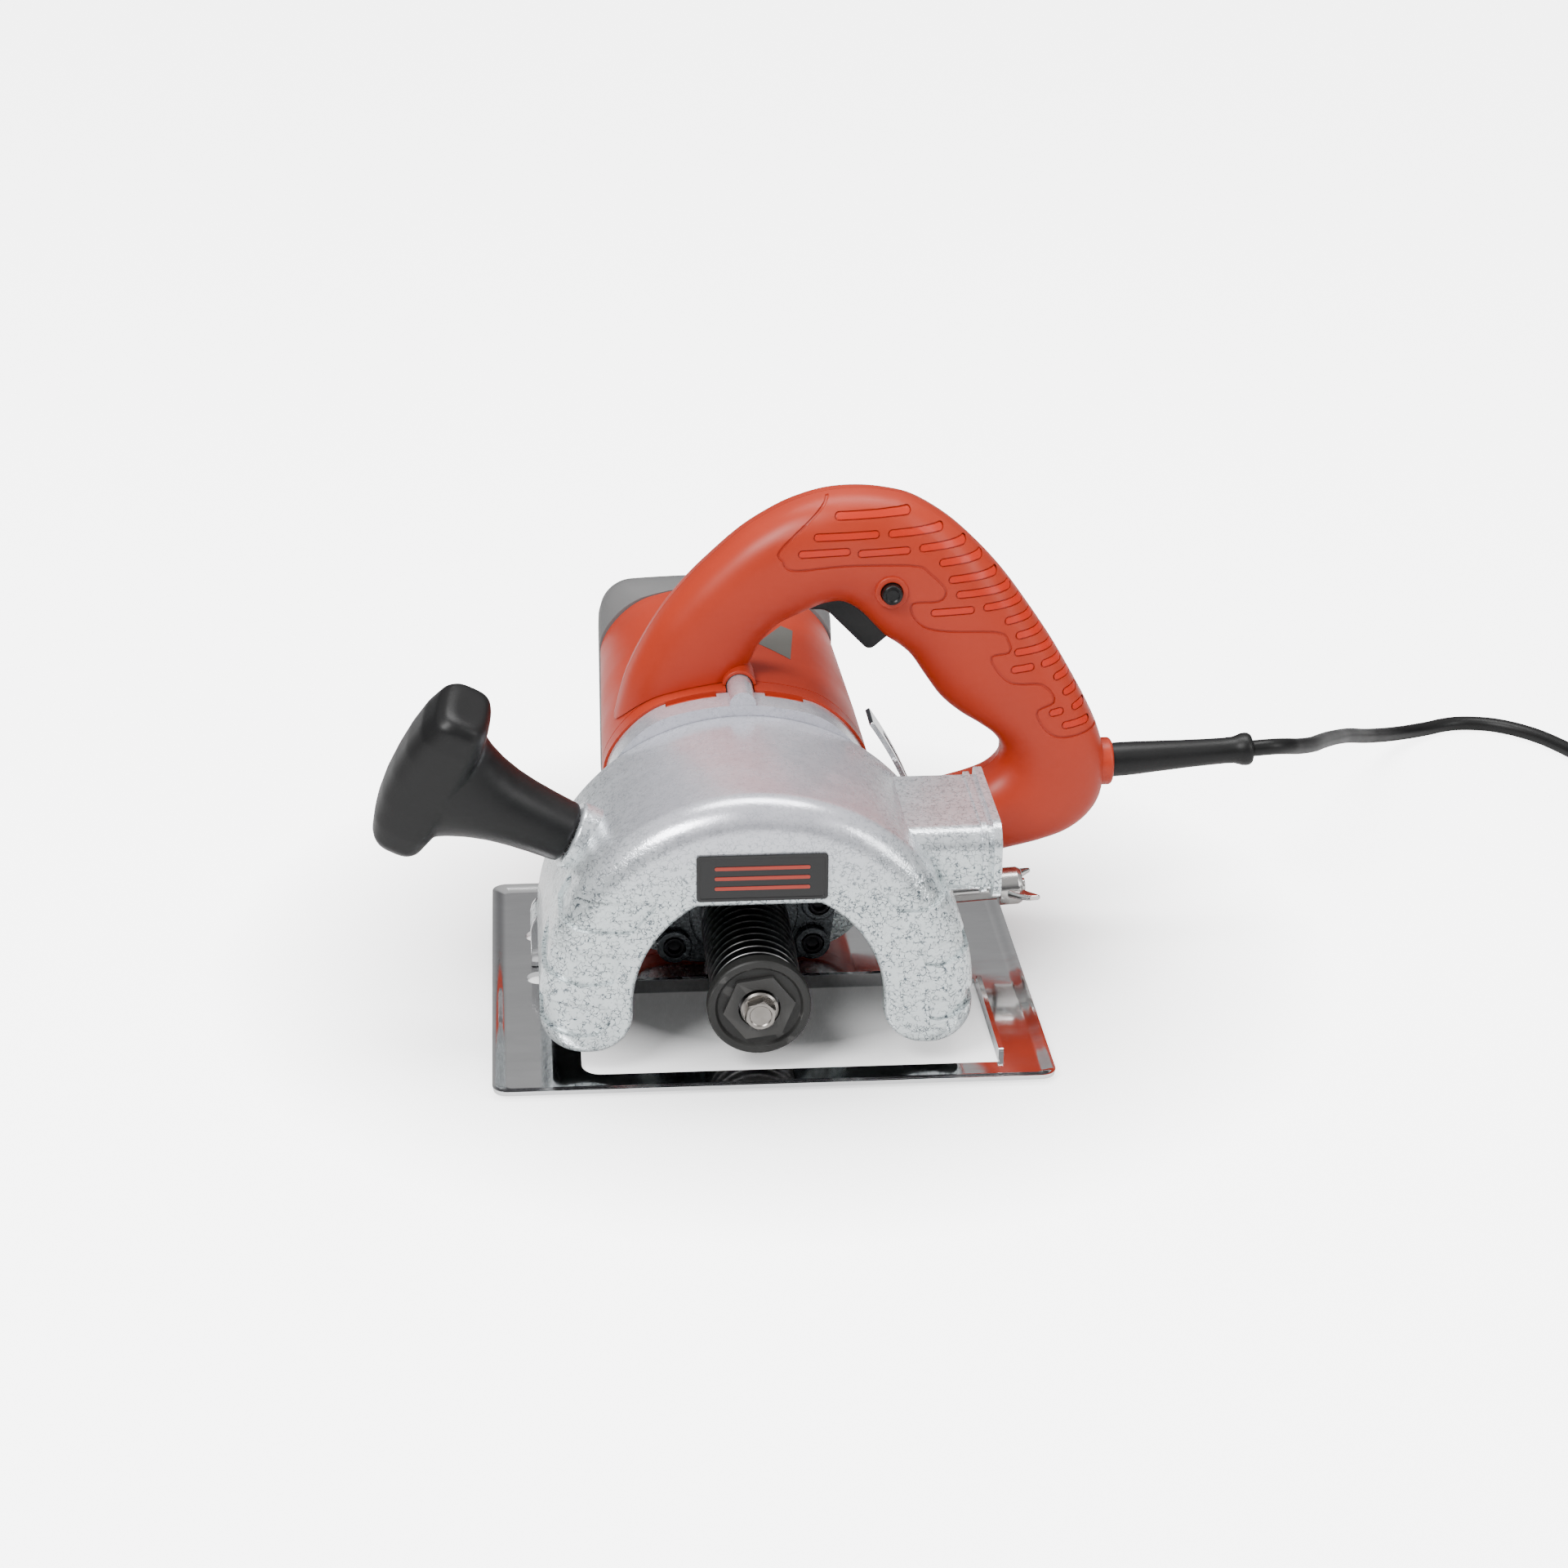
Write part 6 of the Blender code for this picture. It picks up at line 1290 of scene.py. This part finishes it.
class CHASER_OT_sole(bpy.types.Operator):
    """Chromed sole, tilt bracket and pin, depth strip, clamp screw and wing nut"""
    bl_idname = "chaser.sole"
    bl_label = "Sole"

    def execute(self, context):
        chrome, steel = finish("chrome_sheet"), finish("bright_steel")
        low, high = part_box("base_plate")
        left, right, front, back = low.x + 0.6 * mm, high.x - 0.6 * mm, low.y + 0.6 * mm, high.y - 0.6 * mm
        rows = []
        for k in range(9):
            share = k / 8
            inset = 6.2 * mm * (1 - share)
            rows.append((inset, 1.6 * mm * ease(share)))
        upper = [[(x, y, SHEET + lift) for x, y in rectangle(left + inset, right - inset, front + inset, back - inset,
                                                             6.2 * mm - inset * 0.75)] for inset, lift in rows]
        lower = [[(x, y, lift) for x, y in rectangle(left + inset + 0.4 * mm, right - inset - 0.4 * mm,
                                                     front + inset + 0.4 * mm, back - inset - 0.4 * mm,
                                                     5.8 * mm - inset * 0.75)] for inset, lift in rows]
        sole = skin("chromed_sole", upper + lower[::-1])
        slot_left, slot_right, slot_front, slot_back = (v * mm for v in (-70, 96, -92, -20))
        lip_top = SHEET + 4 * mm
        back_lip = slab("back_lip", rectangle(slot_left + 4 * mm, slot_right - 3 * mm, 0.8 * mm, lip_top, 1.4 * mm),
                        slot_back - 2 * mm, slot_back + SHEET)
        side_lip = slab("side_lip", rectangle(slot_front + 3 * mm, slot_back - 4 * mm, 0.8 * mm, lip_top, 1.4 * mm),
                        slot_right - 2 * mm, slot_right + SHEET, "X")
        slot = slab("slot", rounded([(slot_left, slot_front, 8 * mm), (slot_right, slot_front, 0),
                                     (slot_right, slot_back, 0), (slot_left, slot_back, 8 * mm)]),
                    -5 * mm, 12 * mm, "Z")
        unite(sole, back_lip, side_lip)
        carve(sole, slot)
        for near, far in ((-12.5 * mm, -1.5 * mm), (27 * mm, 38 * mm)):
            carve(sole, slab("relief", rounded([(-91 * mm, near, 5 * mm), (-83 * mm, near, 0), (-83 * mm, far, 0),
                                                (-91 * mm, far, 5 * mm)]), -5 * mm, 5 * mm, "Z"))
        dress(settle(sole, 0.3 * mm, 3, 38), "sole", chrome, "chromed_steel", "base_plate")

        width, foot = 9 * mm, SHEET + 0.3 * mm
        ear = rounded([(PIVOT.x - width, foot, 0), (PIVOT.x + width, foot, 0),
                       (PIVOT.x + width, PIVOT.z + width, width * 0.98),
                       (PIVOT.x - width, PIVOT.z + width, width * 0.98)], 16)
        bracket = slab("tilt_bracket", ear, 3 * mm, 23.5 * mm)
        carve(bracket, block("between", (PIVOT.x - 2 * width, 5.5 * mm, foot + SHEET),
                             (PIVOT.x + 2 * width, 21 * mm, 60 * mm)),
              rod("bore", 4.1 * mm, -1 * mm, 26 * mm, (PIVOT.x, 0, PIVOT.z)))
        dress(settle(bracket, 0.35 * mm, 2), "sole", chrome, "chromed_steel", "hinge_bracket")
        pin = turned("tilt_pin", [(0, 26, 0), (3.98, 26, 0.7), (3.98, 2.6, 0), (6, 2.6, 0.2), (6, 0.7, 0.6),
                                  (0, 0.7, 0)], (PIVOT.x, 0, PIVOT.z))
        dress(settle(pin, 0), "sole", steel, "chromed_steel", "hinge_pin")

        half, foot_top = SHEET / 2, 2 * SHEET + 0.3 * mm
        start = math.degrees(math.asin((foot_top - PIVOT.z) / STRIP_RADIUS))
        outer = arc((PIVOT.x, PIVOT.z), STRIP_RADIUS + half, start - 0.6, 34.5, 60)
        inner = arc((PIVOT.x, PIVOT.z), STRIP_RADIUS - half, 34.5, start, 60)
        foot_x = outer[0][0]
        strip = slab("depth_guide", [(foot_x, foot)] + outer + inner + [(foot_x - 24 * mm, foot_top),
                                                                       (foot_x - 24 * mm, foot)],
                     STRIP_FRONT, STRIP_BACK)
        middle = (STRIP_FRONT + STRIP_BACK) / 2
        centre = (PIVOT.x, PIVOT.z)
        carve(strip, slab("strip_slot", arc(centre, STRIP_RADIUS + 5 * mm, 1.2, 31, 40)
                          + arc(centre, STRIP_RADIUS - 5 * mm, 31, 1.2, 40), middle - 3.3 * mm, middle + 3.3 * mm))
        dress(settle(strip, 0.3 * mm, 2), "sole", chrome, "chromed_steel", "depth_strip")

        outward = Vector((math.cos(CLAMP_ANGLE), 0, math.sin(CLAMP_ANGLE)))
        base = Vector((PIVOT.x, middle, PIVOT.z))
        screw = turned("clamp_stud", [(0, 201.5, 0), (3, 201.5, 0.5), (3, 189.2, 0), (5.5, 189.2, 0.5),
                                      (5.5, 163.2, 0.5), (3, 163.2, 0), (3, 146, 0.5), (0, 146, 0)], base, outward)
        dress(settle(screw, 0), "machine", steel, "chromed_steel", "clamp_screw")
        axis = base + outward * 194 * mm
        nut = turned("clamp_wing_nut", [(7, 6, 1), (8, 4, 1), (8, -4.2, 0.6), (3.2, -4.2, 0), (3.2, 6, 0)], axis,
                     outward, 48)
        turn = UP.rotation_difference(outward)
        for side in (-1, 1):
            loops = []
            for x, low_z, high_z, thick in ((4.5, -3.2, 4.5, 1.9), (7.5, -1.4, 6.0, 1.7), (10.0, 1.2, 8.2, 1.5),
                                            (12.0, 3.4, 10.5, 1.4), (13.4, 5.8, 12.0, 1.25), (14.0, 8.0, 11.6, 1.0)):
                outline = rectangle(-thick * mm, thick * mm, low_z * mm, high_z * mm, min(thick * 0.9, 1.2) * mm, 4)
                loops.append([axis + turn @ Vector((t, side * x * mm, h)) for t, h in outline])
            unite(nut, skin("wing", loops))
        dress(settle(nut, 0.3 * mm, 2), "clamp_nut", steel, "chromed_steel", "wing_nut")
        return {"FINISHED"}


# ---------------------------------------------------------------- working parts

class CHASER_OT_inside(bpy.types.Operator):
    """Finishes of the frame's own pieces: shafts, bearings, gears, motor and switch"""
    bl_idname = "chaser.inside"
    bl_label = "Working parts"

    def execute(self, context):
        looks = {
            "bearing_steel": ("spindle_front_bearing", "spindle_rear_bearing", "armature_front_bearing",
                              "armature_rear_bearing", "driven_gear", "armature_shaft", "pinion"),
            "black_oxide": ("spindle",),
            "core_laminations": ("stator", "armature_core"),
            "winding_copper": ("commutator",),
            "black_moulding": ("cooling_fan", "switch_body"),
            "carbon": ("carbon_brush_left", "carbon_brush_right"),
            "brass": ("brush_holder_left", "brush_holder_right"),
        }
        for look, nodes in looks.items():
            for node in nodes:
                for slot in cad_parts[node].material_slots:
                    slot.material = finish(look)
        return {"FINISHED"}


# ---------------------------------------------------------------- panel and registration

OPERATORS = [CHASER_OT_stage, CHASER_OT_cord, CHASER_OT_hood, CHASER_OT_grip, CHASER_OT_gear_case,
             CHASER_OT_spindle, CHASER_OT_motor, CHASER_OT_handle, CHASER_OT_sole, CHASER_OT_inside]


class CHASER_PT_build(bpy.types.Panel):
    """Sizes, colours and build steps of the wall chaser"""
    bl_idname = "CHASER_PT_build"
    bl_label = "Wall Chaser"
    bl_space_type = "VIEW_3D"
    bl_region_type = "UI"
    bl_category = "Wall Chaser"

    def draw(self, context):
        for group in (context.scene.chaser_looks, context.scene.chaser_sizes):
            for name in group.__annotations__:
                self.layout.prop(group, name)
        for operator in OPERATORS:
            self.layout.operator(operator.bl_idname)


CLASSES = [ChaserLooks, ChaserSizes, *OPERATORS, CHASER_PT_build]


def register():
    for cls in CLASSES:
        bpy.utils.register_class(cls)
    bpy.types.Scene.chaser_looks = bpy.props.PointerProperty(type=ChaserLooks)
    bpy.types.Scene.chaser_sizes = bpy.props.PointerProperty(type=ChaserSizes)


def unregister():
    del bpy.types.Scene.chaser_sizes
    del bpy.types.Scene.chaser_looks
    for cls in reversed(CLASSES):
        bpy.utils.unregister_class(cls)


def main():
    register()
    for operator in OPERATORS:
        group, name = operator.bl_idname.split(".")
        getattr(getattr(bpy.ops, group), name)()


if __name__ == "__main__":
    main()
